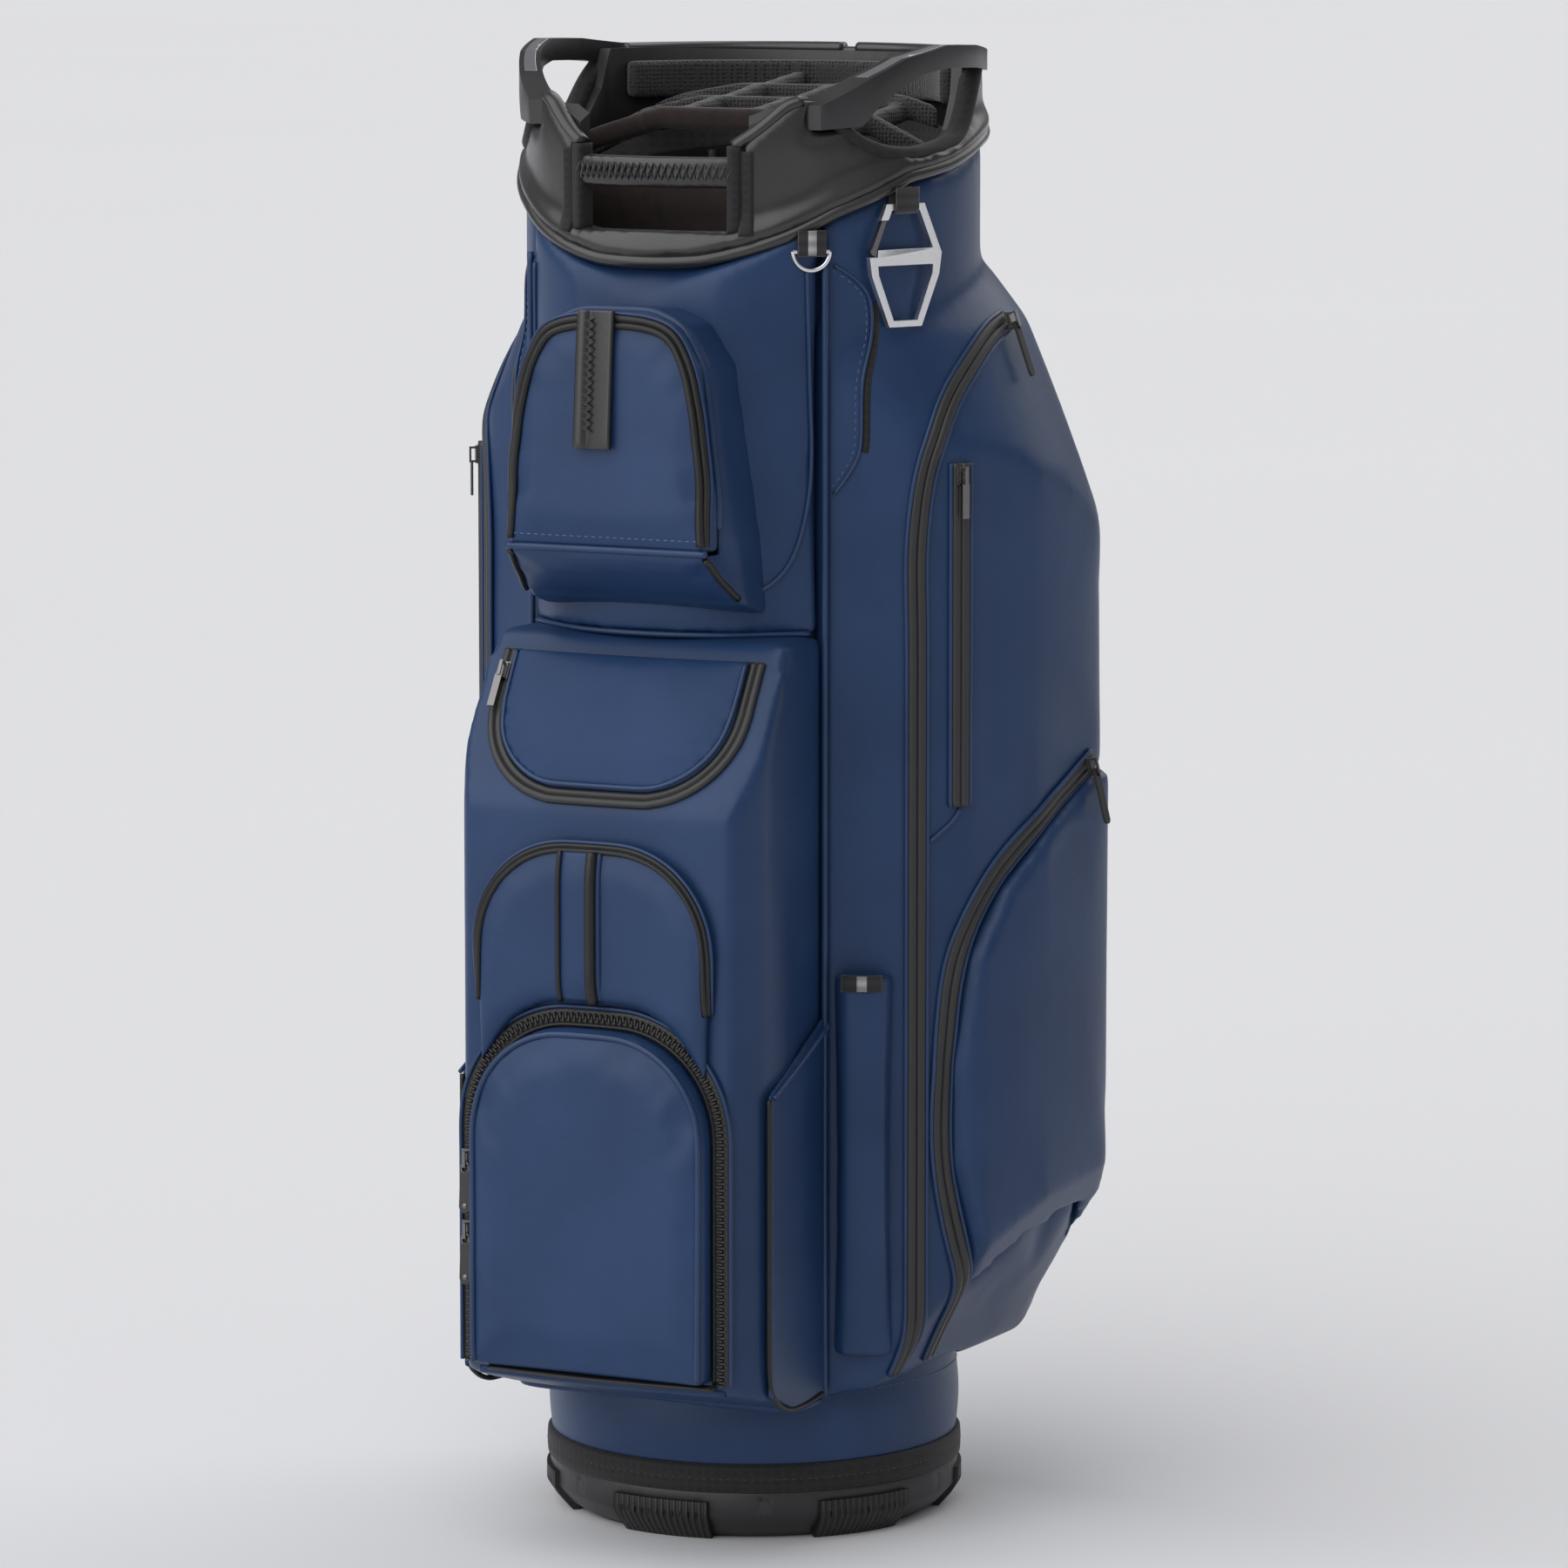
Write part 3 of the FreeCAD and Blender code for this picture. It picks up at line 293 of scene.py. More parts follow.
CAD_LOOKS = {
    "foot": ["base_shell", "top_frame", "tube_shell"],
    "ribs": ["foot_pads"],
    "pad": ["apparel_pull_right", "apparel_pull_left", "lower_pull_right", "lower_pull_left"],
    "velour": ["slot_sheets"],
    "lining": ["pocket_shelves"],
    "steel": ["stay_rods"],
    "chrome": ["handle_inlays", "d_ring"],
    "aluminium": ["towel_clip"],
    "nickel": ["clip_gate", "ball_slider_upper", "ball_slider_lower", "quick_slider", "apparel_slider_right",
               "apparel_slider_left", "upright_slider_right", "upright_slider_left", "lower_slider_right",
               "lower_slider_left"],
    "handle": ["side_handle_right", "side_handle_left", "fasteners"],
    "black": ["front_handle", "ball_pull_upper", "ball_pull_lower", "finder_tab", "cuff"],
    "binding": ["binding_band", "handle_wraps"],
    "tape": ["ball_zip", "quick_zip", "side_zips"],
    "webbing": ["ring_webbing", "clip_webbing", "sleeve_webbing"],
    "mesh": ["divider_bars", "rear_rim"],
    "navy_edge": ["column_piping"],
    "navy": ["tube_cover", "back_panel", "front_panel", "front_column", "side_pocket_right", "side_pocket_left",
             "lower_pocket_right", "lower_pocket_left", "slip_pockets", "side_sleeves", "arch_pocket",
             "centre_strap", "ball_door", "quick_flap", "finder_pocket", "finder_lid"],
}


def paint(obj, look):
    obj.data.materials.clear()
    obj.data.materials.append(MATS[look])
    return obj


for look, names in CAD_LOOKS.items():
    for name in names:
        paint(NODES[name], look)


# ---- mesh tools ---------------------------------------------------------------------------------------------
def link(name, mesh, look):
    obj = bpy.data.objects.new(name, mesh)
    bpy.context.collection.objects.link(obj)
    paint(obj, look)
    return obj


def from_bmesh(name, bm, look):
    mesh = bpy.data.meshes.new(name)
    bm.to_mesh(mesh)
    bm.free()
    return link(name, mesh, look)


def from_rows(name, verts, faces, look, smooth=True):
    mesh = bpy.data.meshes.new(name)
    mesh.from_pydata([tuple(v) for v in verts], [], faces)
    mesh.validate()
    if smooth:
        mesh.shade_smooth()
    return link(name, mesh, look)


def bake(obj):
    """Replaces a mesh by what its modifiers make of it."""
    bpy.context.view_layer.update()
    graph = bpy.context.evaluated_depsgraph_get()
    made = bpy.data.meshes.new_from_object(obj.evaluated_get(graph))
    obj.modifiers.clear()
    obj.data = made
    return obj


def coords(obj):
    co = np.zeros(len(obj.data.vertices) * 3)
    obj.data.vertices.foreach_get("co", co)
    return co.reshape(-1, 3)


def set_coords(obj, co):
    obj.data.vertices.foreach_set("co", np.asarray(co, float).ravel())
    obj.data.update()


def loose_parts(bm):
    seen, parts = set(), []
    for start in bm.verts:
        if start in seen:
            continue
        seen.add(start)
        stack, part = [start], []
        while stack:
            vert = stack.pop()
            part.append(vert)
            for edge in vert.link_edges:
                other = edge.other_vert(vert)
                if other not in seen:
                    seen.add(other)
                    stack.append(other)
        parts.append(part)
    return parts


def part_size(part):
    co = np.array([v.co for v in part])
    return float(np.linalg.norm(co.max(0) - co.min(0)))


def copy_node(name, source, look, outer_only=False):
    """A welded copy of a CAD node's mesh; outer_only drops the surface of a closed hollow inside it."""
    bm = bmesh.new()
    bm.from_mesh(NODES[source].data)
    bmesh.ops.remove_doubles(bm, verts=bm.verts, dist=1e-5)
    if outer_only:
        parts = sorted(loose_parts(bm), key=part_size)
        for part in parts[:-1]:
            bmesh.ops.delete(bm, geom=part, context="VERTS")
    bmesh.ops.recalc_face_normals(bm, faces=bm.faces)
    return from_bmesh(name, bm, look)


def hull(name, sources, look):
    bm = bmesh.new()
    for source in sources:
        for vert in NODES[source].data.vertices:
            bm.verts.new(vert.co)
    bmesh.ops.remove_doubles(bm, verts=bm.verts, dist=1e-5)
    made = bmesh.ops.convex_hull(bm, input=bm.verts)
    spare = [g for g in made["geom_interior"] + made["geom_unused"] if isinstance(g, bmesh.types.BMVert)]
    bmesh.ops.delete(bm, geom=list(set(spare)), context="VERTS")
    bmesh.ops.recalc_face_normals(bm, faces=bm.faces)
    return from_bmesh(name, bm, look)


def carve(obj, cutter, operation="DIFFERENCE"):
    mod = obj.modifiers.new("carve", "BOOLEAN")
    mod.operation = operation
    mod.solver = "EXACT"
    mod.object = cutter
    bake(obj)
    bpy.data.objects.remove(cutter)
    return obj


def rod(radius, low, high):
    bm = bmesh.new()
    bmesh.ops.create_cone(bm, cap_ends=True, segments=128, radius1=radius, radius2=radius, depth=high - low,
                          matrix=Matrix.Translation((0, 0, (low + high) / 2)))
    return from_bmesh("cutter", bm, "navy")


def block(low, high):
    bm = bmesh.new()
    size = Vector(high) - Vector(low)
    bmesh.ops.create_cube(bm, matrix=Matrix.Translation((Vector(low) + Vector(high)) / 2)
                          @ Matrix.Diagonal((*size, 1)))
    return from_bmesh("cutter", bm, "navy")


def slab(near_ring, far_ring):
    """A closed cutter between two rings of points."""
    count = len(near_ring)
    faces = [tuple(range(count)), tuple(range(2 * count - 1, count - 1, -1))]
    faces += [(k, count + k, count + (k + 1) % count, (k + 1) % count) for k in range(count)]
    cutter = from_rows("cutter", list(near_ring) + list(far_ring), faces, "navy")
    bm = bmesh.new()
    bm.from_mesh(cutter.data)
    bmesh.ops.recalc_face_normals(bm, faces=bm.faces)
    bm.to_mesh(cutter.data)
    bm.free()
    return cutter


def line_inside(obj, thickness):
    """Gives a skin a wall, lined on the inside."""
    obj.data.materials.append(MATS["lining"])
    mod = obj.modifiers.new("wall", "SOLIDIFY")
    mod.thickness = thickness
    mod.offset = -1
    mod.material_offset = 1
    return bake(obj)


def soften(obj, voxel, rounds):
    """Remeshes to an even net and rounds its corners."""
    mod = obj.modifiers.new("net", "REMESH")
    mod.mode = "VOXEL"
    mod.voxel_size = voxel
    mod.use_smooth_shade = True
    bake(obj)
    if rounds:
        mod = obj.modifiers.new("round", "SMOOTH")
        mod.factor = 0.5
        mod.iterations = rounds
        bake(obj)
    return obj


def near(co, lines, reach):
    """0 on the lines, rising smoothly to 1 at reach from them."""
    points = np.array([p for line in lines for p in line], float)
    best = np.full(len(co), np.inf)
    for start in range(0, len(points), 60):
        chunk = points[start:start + 60]
        best = np.minimum(best, np.linalg.norm(co[:, None] - chunk[None], axis=2).min(1))
    t = np.clip(best / reach, 0, 1)
    return t * t * (3 - 2 * t)


def calmed(mesh, shift, rounds):
    """Averages each point's shift with its neighbours', which takes out the finest puckers."""
    ends = np.zeros(len(mesh.edges) * 2, np.int32)
    mesh.edges.foreach_get("vertices", ends)
    count = np.maximum(np.bincount(ends, minlength=len(shift)), 1)[:, None]
    near_end, far_end = ends.reshape(-1, 2).T
    for _ in range(rounds):
        total = np.zeros_like(shift)
        np.add.at(total, near_end, shift[far_end])
        np.add.at(total, far_end, shift[near_end])
        shift = 0.5 * shift + 0.5 * total / count
    return shift


def swell(obj, pressure, cap, free=None):
    """Blows a closed skin out like stuffed fabric. free is how far each point may go, from 0 at a seam to 1."""
    rest = coords(obj)
    free = np.ones(len(rest)) if free is None else free
    group = obj.vertex_groups.new(name="held")
    for index, value in enumerate(1 - free):
        if value > 0.02:
            group.add([index], float(value), "REPLACE")
    mod = obj.modifiers.new("cloth", "CLOTH")
    mod.settings.quality = 4
    mod.settings.mass = 0.25
    mod.settings.tension_stiffness = 25
    mod.settings.compression_stiffness = 25
    mod.settings.bending_stiffness = 4
    mod.settings.use_pressure = True
    mod.settings.uniform_pressure_force = pressure
    mod.settings.vertex_group_mass = "held"
    mod.settings.effector_weights.gravity = 0
    mod.collision_settings.use_collision = False
    mod.point_cache.frame_end = 20
    for number in range(1, 21):
        bpy.context.scene.frame_set(number)
    graph = bpy.context.evaluated_depsgraph_get()
    blown = bpy.data.meshes.new_from_object(obj.evaluated_get(graph))
    moved = np.zeros(len(blown.vertices) * 3)
    blown.vertices.foreach_get("co", moved)
    bpy.data.meshes.remove(blown)
    obj.modifiers.clear()
    obj.vertex_groups.clear()
    bpy.context.scene.frame_set(1)
    shift = moved.reshape(-1, 3) - rest
    length = np.linalg.norm(shift, axis=1)
    limit = cap * (0.12 + 0.88 * free)
    shift *= (np.minimum(length, limit) / np.maximum(length, 1e-9))[:, None]
    set_coords(obj, rest + calmed(obj.data, shift, 5))
    mod = obj.modifiers.new("calm", "SMOOTH")
    mod.factor = 0.5
    mod.iterations = 2
    return bake(obj)


def settle(obj, body, replaces=(), levels=1):
    obj.data.shade_smooth()
    if levels:
        mod = obj.modifiers.new("fine", "SUBSURF")
        mod.levels = mod.render_levels = levels
    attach(obj, body)
    if replaces:
        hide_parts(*replaces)
    return obj


def mirror_copy(obj, name):
    """The same piece on the other side."""
    bm = bmesh.new()
    bm.from_mesh(obj.data)
    for vert in bm.verts:
        vert.co.x = -vert.co.x
    bmesh.ops.reverse_faces(bm, faces=bm.faces)
    mesh = bpy.data.meshes.new(name)
    bm.to_mesh(mesh)
    bm.free()
    for mat in obj.data.materials:
        mesh.materials.append(mat)
    made = bpy.data.objects.new(name, mesh)
    bpy.context.collection.objects.link(made)
    return made


# ---- lines on surfaces --------------------------------------------------------------------------------------
class Skin:
    """The finished outside of some pieces, to lay lines on."""

    def __init__(self, *objs):
        bpy.context.view_layer.update()
        graph = bpy.context.evaluated_depsgraph_get()
        verts, polys = [], []
        for obj in objs:
            shown = obj.evaluated_get(graph)
            mesh = shown.to_mesh()
            base = len(verts)
            verts += [obj.matrix_world @ v.co for v in mesh.vertices]
            polys += [[base + i for i in p.vertices] for p in mesh.polygons]
            shown.to_mesh_clear()
        self.tree = BVHTree.FromPolygons(verts, polys)

    def cast(self, points, direction, reach=0.5):
        """Points and normals where rays through these points first meet the skin."""
        d = Vector(direction).normalized()
        found, outward = [], []
        for p in points:
            hit, normal, _, _ = self.tree.ray_cast(Vector(p) - d * reach, d)
            if hit is not None:
                found.append(hit)
                outward.append(normal if normal.dot(d) < 0 else -normal)
        return found, outward

    def nearest(self, points):
        found, outward = [], []
        for p in points:
            hit, normal, _, _ = self.tree.find_nearest(Vector(p))
            found.append(hit)
            outward.append(normal)
        return found, outward


def spaced(points, step, closed=False):
    """A smooth line through the points, with a point every step."""
    pts = [Vector(p) for p in points]
    if closed:
        pts = pts + pts[:1]
    dense = []
    count = len(pts)
    for i in range(count - 1):
        p1, p2 = pts[i], pts[i + 1]
        p0 = pts[i - 1] if i else (pts[-2] if closed else p1 * 2 - p2)
        p3 = pts[i + 2] if i + 2 < count else (pts[1] if closed else p2 * 2 - p1)
        for k in range(24):
            t = k / 24
            dense.append(0.5 * (2 * p1 + (p2 - p0) * t + (2 * p0 - 5 * p1 + 4 * p2 - p3) * t * t
                                + (3 * p1 - p0 - 3 * p2 + p3) * t * t * t))
    dense.append(pts[-1])
    lengths = [0.0]
    for a, b in zip(dense, dense[1:]):
        lengths.append(lengths[-1] + (b - a).length)
    number = max(2, int(round(lengths[-1] / step)))
    out, j = [], 0
    for k in range(number + (0 if closed else 1)):
        want = lengths[-1] * k / number
        while j < len(lengths) - 2 and lengths[j + 1] < want:
            j += 1
        span = max(lengths[j + 1] - lengths[j], 1e-12)
        out.append(dense[j].lerp(dense[j + 1], (want - lengths[j]) / span))
    return out


def eased(vectors, times, closed=False, unit=False):
    rows = [Vector(v) for v in vectors]
    last = len(rows) - 1
    for _ in range(times):
        new = []
        for i, row in enumerate(rows):
            if not closed and i in (0, last):
                new.append(row)
                continue
            new.append((rows[i - 1] + row * 2 + rows[(i + 1) % len(rows)]) / 4)
        rows = new
    return [r.normalized() for r in rows] if unit else rows


def frames(path, outward, closed=False):
    rows = []
    count = len(path)
    for i in range(count):
        a = path[i - 1] if (closed or i) else path[i]
        b = path[(i + 1) % count] if (closed or i < count - 1) else path[i]
        tangent = (b - a).normalized()
        out = (outward[i] - tangent * outward[i].dot(tangent)).normalized()
        rows.append((path[i], tangent, out, tangent.cross(out)))
    return rows


def sweep(name, path, outward, profile, look, closed=False):
    """A closed (across, out) outline in metres swept along a path on a surface."""
    verts, faces = [], []
    rows = frames(path, outward, closed)
    size = len(profile)
    for p, _, out, across in rows:
        verts += [p + across * u + out * v for u, v in profile]
    for i in range(len(rows) if closed else len(rows) - 1):
        a, b = i * size, ((i + 1) % len(rows)) * size
        for k in range(size):
            n = (k + 1) % size
            faces.append((a + k, a + n, b + n, b + k))
    if not closed:
        faces.append(tuple(range(size))[::-1])
        faces.append(tuple((len(rows) - 1) * size + k for k in range(size)))
    obj = from_rows(name, verts, faces, look)
    bm = bmesh.new()
    bm.from_mesh(obj.data)
    bmesh.ops.recalc_face_normals(bm, faces=bm.faces)
    bm.to_mesh(obj.data)
    bm.free()
    return obj


def round_profile(radius, sink=0.3, sides=10):
    return [(radius * math.cos(2 * math.pi * k / sides), radius * (math.sin(2 * math.pi * k / sides) + 1 - sink))
            for k in range(sides)]


def oval(across, out, sides=16):
    turns = [2 * math.pi * k / sides for k in range(sides)]
    return [(across * math.cos(t), out * math.sin(t)) for t in turns]


def tape_profile(width, height, groove=0.0005):
    """Two crowned lanes that meet in a groove."""
    half = width / 2
    return [(-half, -0.001), (-half, height * 0.3), (-half * 0.86, height * 0.85), (-half * 0.5, height),
            (-groove * 1.6, height * 0.92), (-groove * 0.4, height * 0.25), (groove * 0.4, height * 0.25),
            (groove * 1.6, height * 0.92), (half * 0.5, height), (half * 0.86, height * 0.85),
            (half, height * 0.3), (half, -0.001)]


def capsule(verts, faces, a, b, out, radius):
    """One stitch: a short thread that dives in at both ends."""
    along = b - a
    side = along.cross(out).normalized()
    base = len(verts)
    rings = ((0.0, 0.35, -0.6), (0.2, 0.9, 0.5), (0.5, 1.0, 0.8), (0.8, 0.9, 0.5), (1.0, 0.35, -0.6))
    for t, swell_by, lift in rings:
        centre = a + along * t + out * radius * lift
        for k in range(6):
            angle = math.pi * k / 3
            verts.append(centre + (side * math.cos(angle) + out * math.sin(angle)) * radius * swell_by)
    for ring in range(4):
        for k in range(6):
            n = (k + 1) % 6
            faces.append((base + ring * 6 + k, base + ring * 6 + n, base + ring * 6 + 6 + n, base + ring * 6 + 6 + k))
    faces.append(tuple(base + k for k in range(6))[::-1])
    faces.append(tuple(base + 24 + k for k in range(6)))


def stitches(name, path, outward, look, length=0.0034, gap=0.0014, radius=0.00035, across=0.0):
    """A running stitch beside a path whose points lie 1 mm apart or so."""
    verts, faces = [], []
    rows = frames(path, outward)
    step = (path[-1] - path[0]).length and sum((b - a).length for a, b in zip(path, path[1:])) / (len(path) - 1)
    stride, reach = max(1, round((length + gap) / step)), max(1, round(length / step))
    for i in range(0, len(rows) - reach, stride):
        (p, _, out, side), (q, _, _, side2) = rows[i], rows[i + reach]
        capsule(verts, faces, p + side * across, q + side2 * across, out, radius)
    return from_rows(name, verts, faces, look)


def cross_stitches(name, path, outward, look, pitch, width, radius=0.0005):
    verts, faces = [], []
    rows = frames(path, outward)
    step = sum((b - a).length for a, b in zip(path, path[1:])) / (len(path) - 1)
    stride = max(1, round(pitch / step))
    for i in range(0, len(rows) - stride, stride):
        (p, _, out, side), (q, _, _, _) = rows[i], rows[i + stride]
        w = width / 2
        capsule(verts, faces, p - side * w, q + side * w, out, radius)
        capsule(verts, faces, p + side * w + out * radius, q - side * w + out * radius, out, radius)
    return from_rows(name, verts, faces, look)


def tooth_row(name, path, outward, look, pitch, size, reach=0.0006):
    """Moulded zip teeth from both tapes, set alternately."""
    verts, faces = [], []
    rows = frames(path, outward)
    step = sum((b - a).length for a, b in zip(path, path[1:])) / (len(path) - 1)
    stride = max(1, round(pitch / step))
    length, width, height = size
    for count, i in enumerate(range(0, len(rows), stride)):
        p, along, out, side = rows[i]
        hand = 1 if count % 2 else -1
        centre = p + side * hand * reach
        base = len(verts)
        for level, shrink in ((-0.3, 1.0), (0.65, 1.0), (1.0, 0.68)):
            for u, v in ((-1, -1), (1, -1), (1, 1), (-1, 1)):
                verts.append(centre + side * u * width / 2 * shrink + along * v * length / 2 * shrink
                             + out * height * level)
        for ring in range(2):
            for k in range(4):
                n = (k + 1) % 4
                faces.append((base + ring * 4 + k, base + ring * 4 + n, base + ring * 4 + 4 + n,
                              base + ring * 4 + 4 + k))
        faces.append(tuple(base + 8 + k for k in range(4)))
        faces.append(tuple(base + k for k in range(4))[::-1])
    return from_rows(name, verts, faces, look, smooth=False)


# ---- the big sewn forms -------------------------------------------------------------------------------------
def arch_line(half, low, high, radius):
    """An arch in (x, z), metres, from the foot of one leg over the top to the other."""
    points = [(-half, low + (high - radius - low) * k / 8) for k in range(8)]
    for centre, start, stop in (((radius - half, high - radius), 180, 90), ((half - radius, high - radius), 90, 0)):
        for k in range(9):
            a = math.radians(start + (stop - start) * k / 8)
            points.append((centre[0] + radius * math.cos(a), centre[1] + radius * math.sin(a)))
    points += [(half, high - radius - (high - radius - low) * k / 8) for k in range(1, 9)]
    return [p for i, p in enumerate(points) if not i or (Vector(p) - Vector(points[i - 1])).length > 1e-4]


LONG_ZIP = [(-73, 108), (-73, 240), (-73, 400), (-73, 560), (-73, 636), (-65, 688), (-46, 717), (-16, 741),
            (12, 756), (40, 762)]
UPRIGHT_ZIP = [(-49, 466), (-49, 540), (-49, 610), (-49, 680)]
LOWER_ZIP = [(78, 483), (48, 468), (18, 452), (-24, 418), (-50, 374), (-58, 300), (-58, 238), (-45, 168), (-28, 112)]


def slope_frame():
    low, high = Vector((0, -0.212, 0.474)), Vector((0, -0.152, 0.575))
    up = (high - low).normalized()
    return low, up, Vector((0, -up.z, up.y))


def side_points(line):
    return [Vector((0, y, z)) * MM for y, z in line]


def build_sides():
    core = {}
    side = copy_node("side_skin_right", "side_pocket_right", "navy", outer_only=True)
    soften(side, 0.0045, 9)
    rough = Skin(side)
    seams = []
    for line in (LONG_ZIP, UPRIGHT_ZIP, LOWER_ZIP):
        found, _ = rough.cast(spaced(side_points(line), 0.006), (-1, 0, 0))
        seams.append(found)
    seams.append([Vector((101.9, -102.2, z)) * MM for z in range(90, 810, 8)])
    co = coords(side)
    free = near(co, seams, 0.045)
    inward = np.clip((np.linalg.norm(co[:, :2], axis=1) - 0.136) / 0.02, 0, 1)
    swell(side, 4.0, 0.0055, free * inward)
    lower = copy_node("lower_skin_right", "lower_pocket_right", "navy", outer_only=True)
    soften(lower, 0.004, 5)
    co = coords(lower)
    swell(lower, 4.0, 0.005, near(co, [seams[2]], 0.04) * np.clip((co[:, 2] - 0.17) / 0.07, 0, 1))
    core["side"], core["lower"] = side, lower
    for piece, node_name, label in ((side, "side_pocket", "side_skin"), (lower, "lower_pocket", "lower_skin")):
        left = mirror_copy(piece, f"{label}_left")
        settle(piece, "bag", [f"{node_name}_right"])
        settle(left, "bag", [f"{node_name}_left"])
    return core


def build_column():
    column = hull("column_skin", ["front_column"], "navy")
    carve(column, rod(0.1301, 0.05, 0.62))
    soften(column, 0.0045, 8)
    co = coords(column)
    lo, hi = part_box("front_column")
    edges = [[Vector((s * 0.1, -0.104, z / 1000)) for z in range(86, 574, 8)] for s in (-1, 1)]
    zip_lo, zip_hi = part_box("ball_zip")
    edges.append([Vector((x, lo.y, z)) for x, z in arch_line(zip_hi.x - 0.005, zip_lo.z, zip_hi.z - 0.005, 0.071)])
    below_slope = np.clip((0.452 - co[:, 2]) / 0.03, 0, 1)
    swell(column, 4.0, 0.005, near(co, edges, 0.04) * np.clip((-co[:, 1] - 0.12) / 0.03, 0, 1) * below_slope)
    line_inside(column, 0.0025)
    arch = arch_line(0.0755, 0.1285, 0.3315, 0.060)
    carve(column, slab([(x, -0.26, z) for x, z in arch], [(x, -0.19, z) for x, z in arch]))
    foot, up, out = slope_frame()
    bowl = [(x, 0.020 + 0.094 - v) for x, v in arch_line(0.0715, 0.020, 0.094, 0.046)]
    carve(column, slab(*[[foot + Vector((x, 0, 0)) + up * v + out * off for x, v in bowl] for off in (0.014, -0.012)]))
    settle(column, "bag", ["front_column"])
    panel = copy_node("upper_panel", "front_panel", "navy")
    soften(panel, 0.004, 6)
    swell(panel, 4.0, 0.004)
    settle(panel, "bag", ["front_panel"])
    return column, panel


def cut_open(obj, planes, test, thickness=0.0022):
    """Cuts along clean planes, drops the faces that test() picks and gives the rest a sewn wall's thickness."""
    bm = bmesh.new()
    bm.from_mesh(obj.data)
    for point, normal in planes:
        geom = bm.verts[:] + bm.edges[:] + bm.faces[:]
        bmesh.ops.bisect_plane(bm, geom=geom, plane_co=point, plane_no=normal)
    gone = [f for f in bm.faces if test(f.calc_center_median())]
    bmesh.ops.delete(bm, geom=gone, context="FACES")
    bm.to_mesh(obj.data)
    bm.free()
    return line_inside(obj, thickness)


def build_door():
    door = hull("door_pad", ["ball_door"], "navy")
    lo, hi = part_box("ball_door")
    soften(door, 0.0032, 5)
    co = coords(door)
    swell(door, 4.0, 0.004, np.clip((hi.y - 0.004 - co[:, 1]) / 0.004, 0, 1))
    back = hi.y - 0.0020
    cut_open(door, [((0, back, 0), (0, 1, 0))], lambda c: c.y > back)
    settle(door, "ball_door", ["ball_door"])
    arch = copy_node("arch_pad", "arch_pocket", "navy")
    soften(arch, 0.0028, 4)
    swell(arch, 4.0, 0.004)
    settle(arch, "bag", ["arch_pocket"])
    return door, arch


def build_flap():
    flap = copy_node("flap_pad", "quick_flap", "deep")
    soften(flap, 0.0022, 4)
    swell(flap, 4.0, 0.0045)
    settle(flap, "quick_flap", ["quick_flap"])
    return flap


def build_finder():
    lid = hull("lid_pad", ["finder_lid"], "navy")
    lo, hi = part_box("finder_lid")
    soften(lid, 0.003, 4)
    co = coords(lid)
    swell(lid, 4.0, 0.0035, np.clip((hi.y - 0.004 - co[:, 1]) / 0.004, 0, 1))
    back = hi.y - 0.0022
    cut_open(lid, [((0, back, 0), (0, 1, 0))], lambda c: c.y > back)
    settle(lid, "finder_lid", ["finder_lid"])
    body = hull("finder_body", ["finder_pocket", "finder_lid"], "navy")
    carve(body, block((-0.2, -0.3, lo.z - 0.0003), (0.2, hi.y + 0.0003, 1.0)))
    soften(body, 0.003, 4)
    swell(body, 4.0, 0.0025, np.clip((-co_y(body) - 0.15) / 0.02, 0, 1))
    front, seam = hi.y + 0.0018, lo.z - 0.0016
    cut_open(body, [((0, front, 0), (0, 1, 0)), ((0, 0, seam), (0, 0, 1))],
             lambda c: c.y < front and c.z > seam)
    settle(body, "bag", ["finder_pocket"])
    return lid, body


def co_y(obj):
    return coords(obj)[:, 1]


# ---- cuff, handles and club mouth ---------------------------------------------------------------------------
SEAM = [(-150, 800), (-141, 803), (-117, 819), (-99, 832), (-53, 853), (-17, 859), (30, 871), (100, 882), (150, 885)]


def build_cuff():
    cuff = copy_node("cuff_pad", "cuff", "black")
    soften(cuff, 0.0028, 10)
    co = coords(cuff)
    swell(cuff, 4.0, 0.0028)
    co = coords(cuff)
    seam = np.interp(co[:, 1], [p[0] * MM for p in SEAM], [p[1] * MM for p in SEAM])
    radius = np.linalg.norm(co[:, :2], axis=1)
    roll = 0.0048 * np.exp(-(((co[:, 2] - seam - 0.010) / 0.0085) ** 2)) * np.clip((radius - 0.139) / 0.004, 0, 1)
    co[:, :2] *= (1 + roll / radius)[:, None]
    set_coords(cuff, co)
    settle(cuff, "bag", ["cuff"])
    grip = copy_node("grip_pad", "front_handle", "black")
    soften(grip, 0.0022, 9)
    swell(grip, 5.0, 0.0035)
    settle(grip, "bag", ["front_handle"])
    return cuff, grip


def build_mouth():
    for name, source, voxel, rounds, cap in (("bar_pads", "divider_bars", 0.0024, 6, 0.0022),
                                             ("rim_pad", "rear_rim", 0.0024, 8, 0.0025)):
        pad = copy_node(name, source, "mesh")
        soften(pad, voxel, rounds)
        swell(pad, 4.0, cap)
        settle(pad, "bag", [source], levels=0)


def bevel_node(name, width, segments=2):
    obj = NODES[name]
    weld = obj.modifiers.new("weld", "WELD")
    weld.merge_threshold = 1e-5
    mod = obj.modifiers.new("edges", "BEVEL")
    mod.width = width
    mod.segments = segments
    mod.limit_method = "ANGLE"
    mod.angle_limit = math.radians(35)
    mod.harden_normals = True


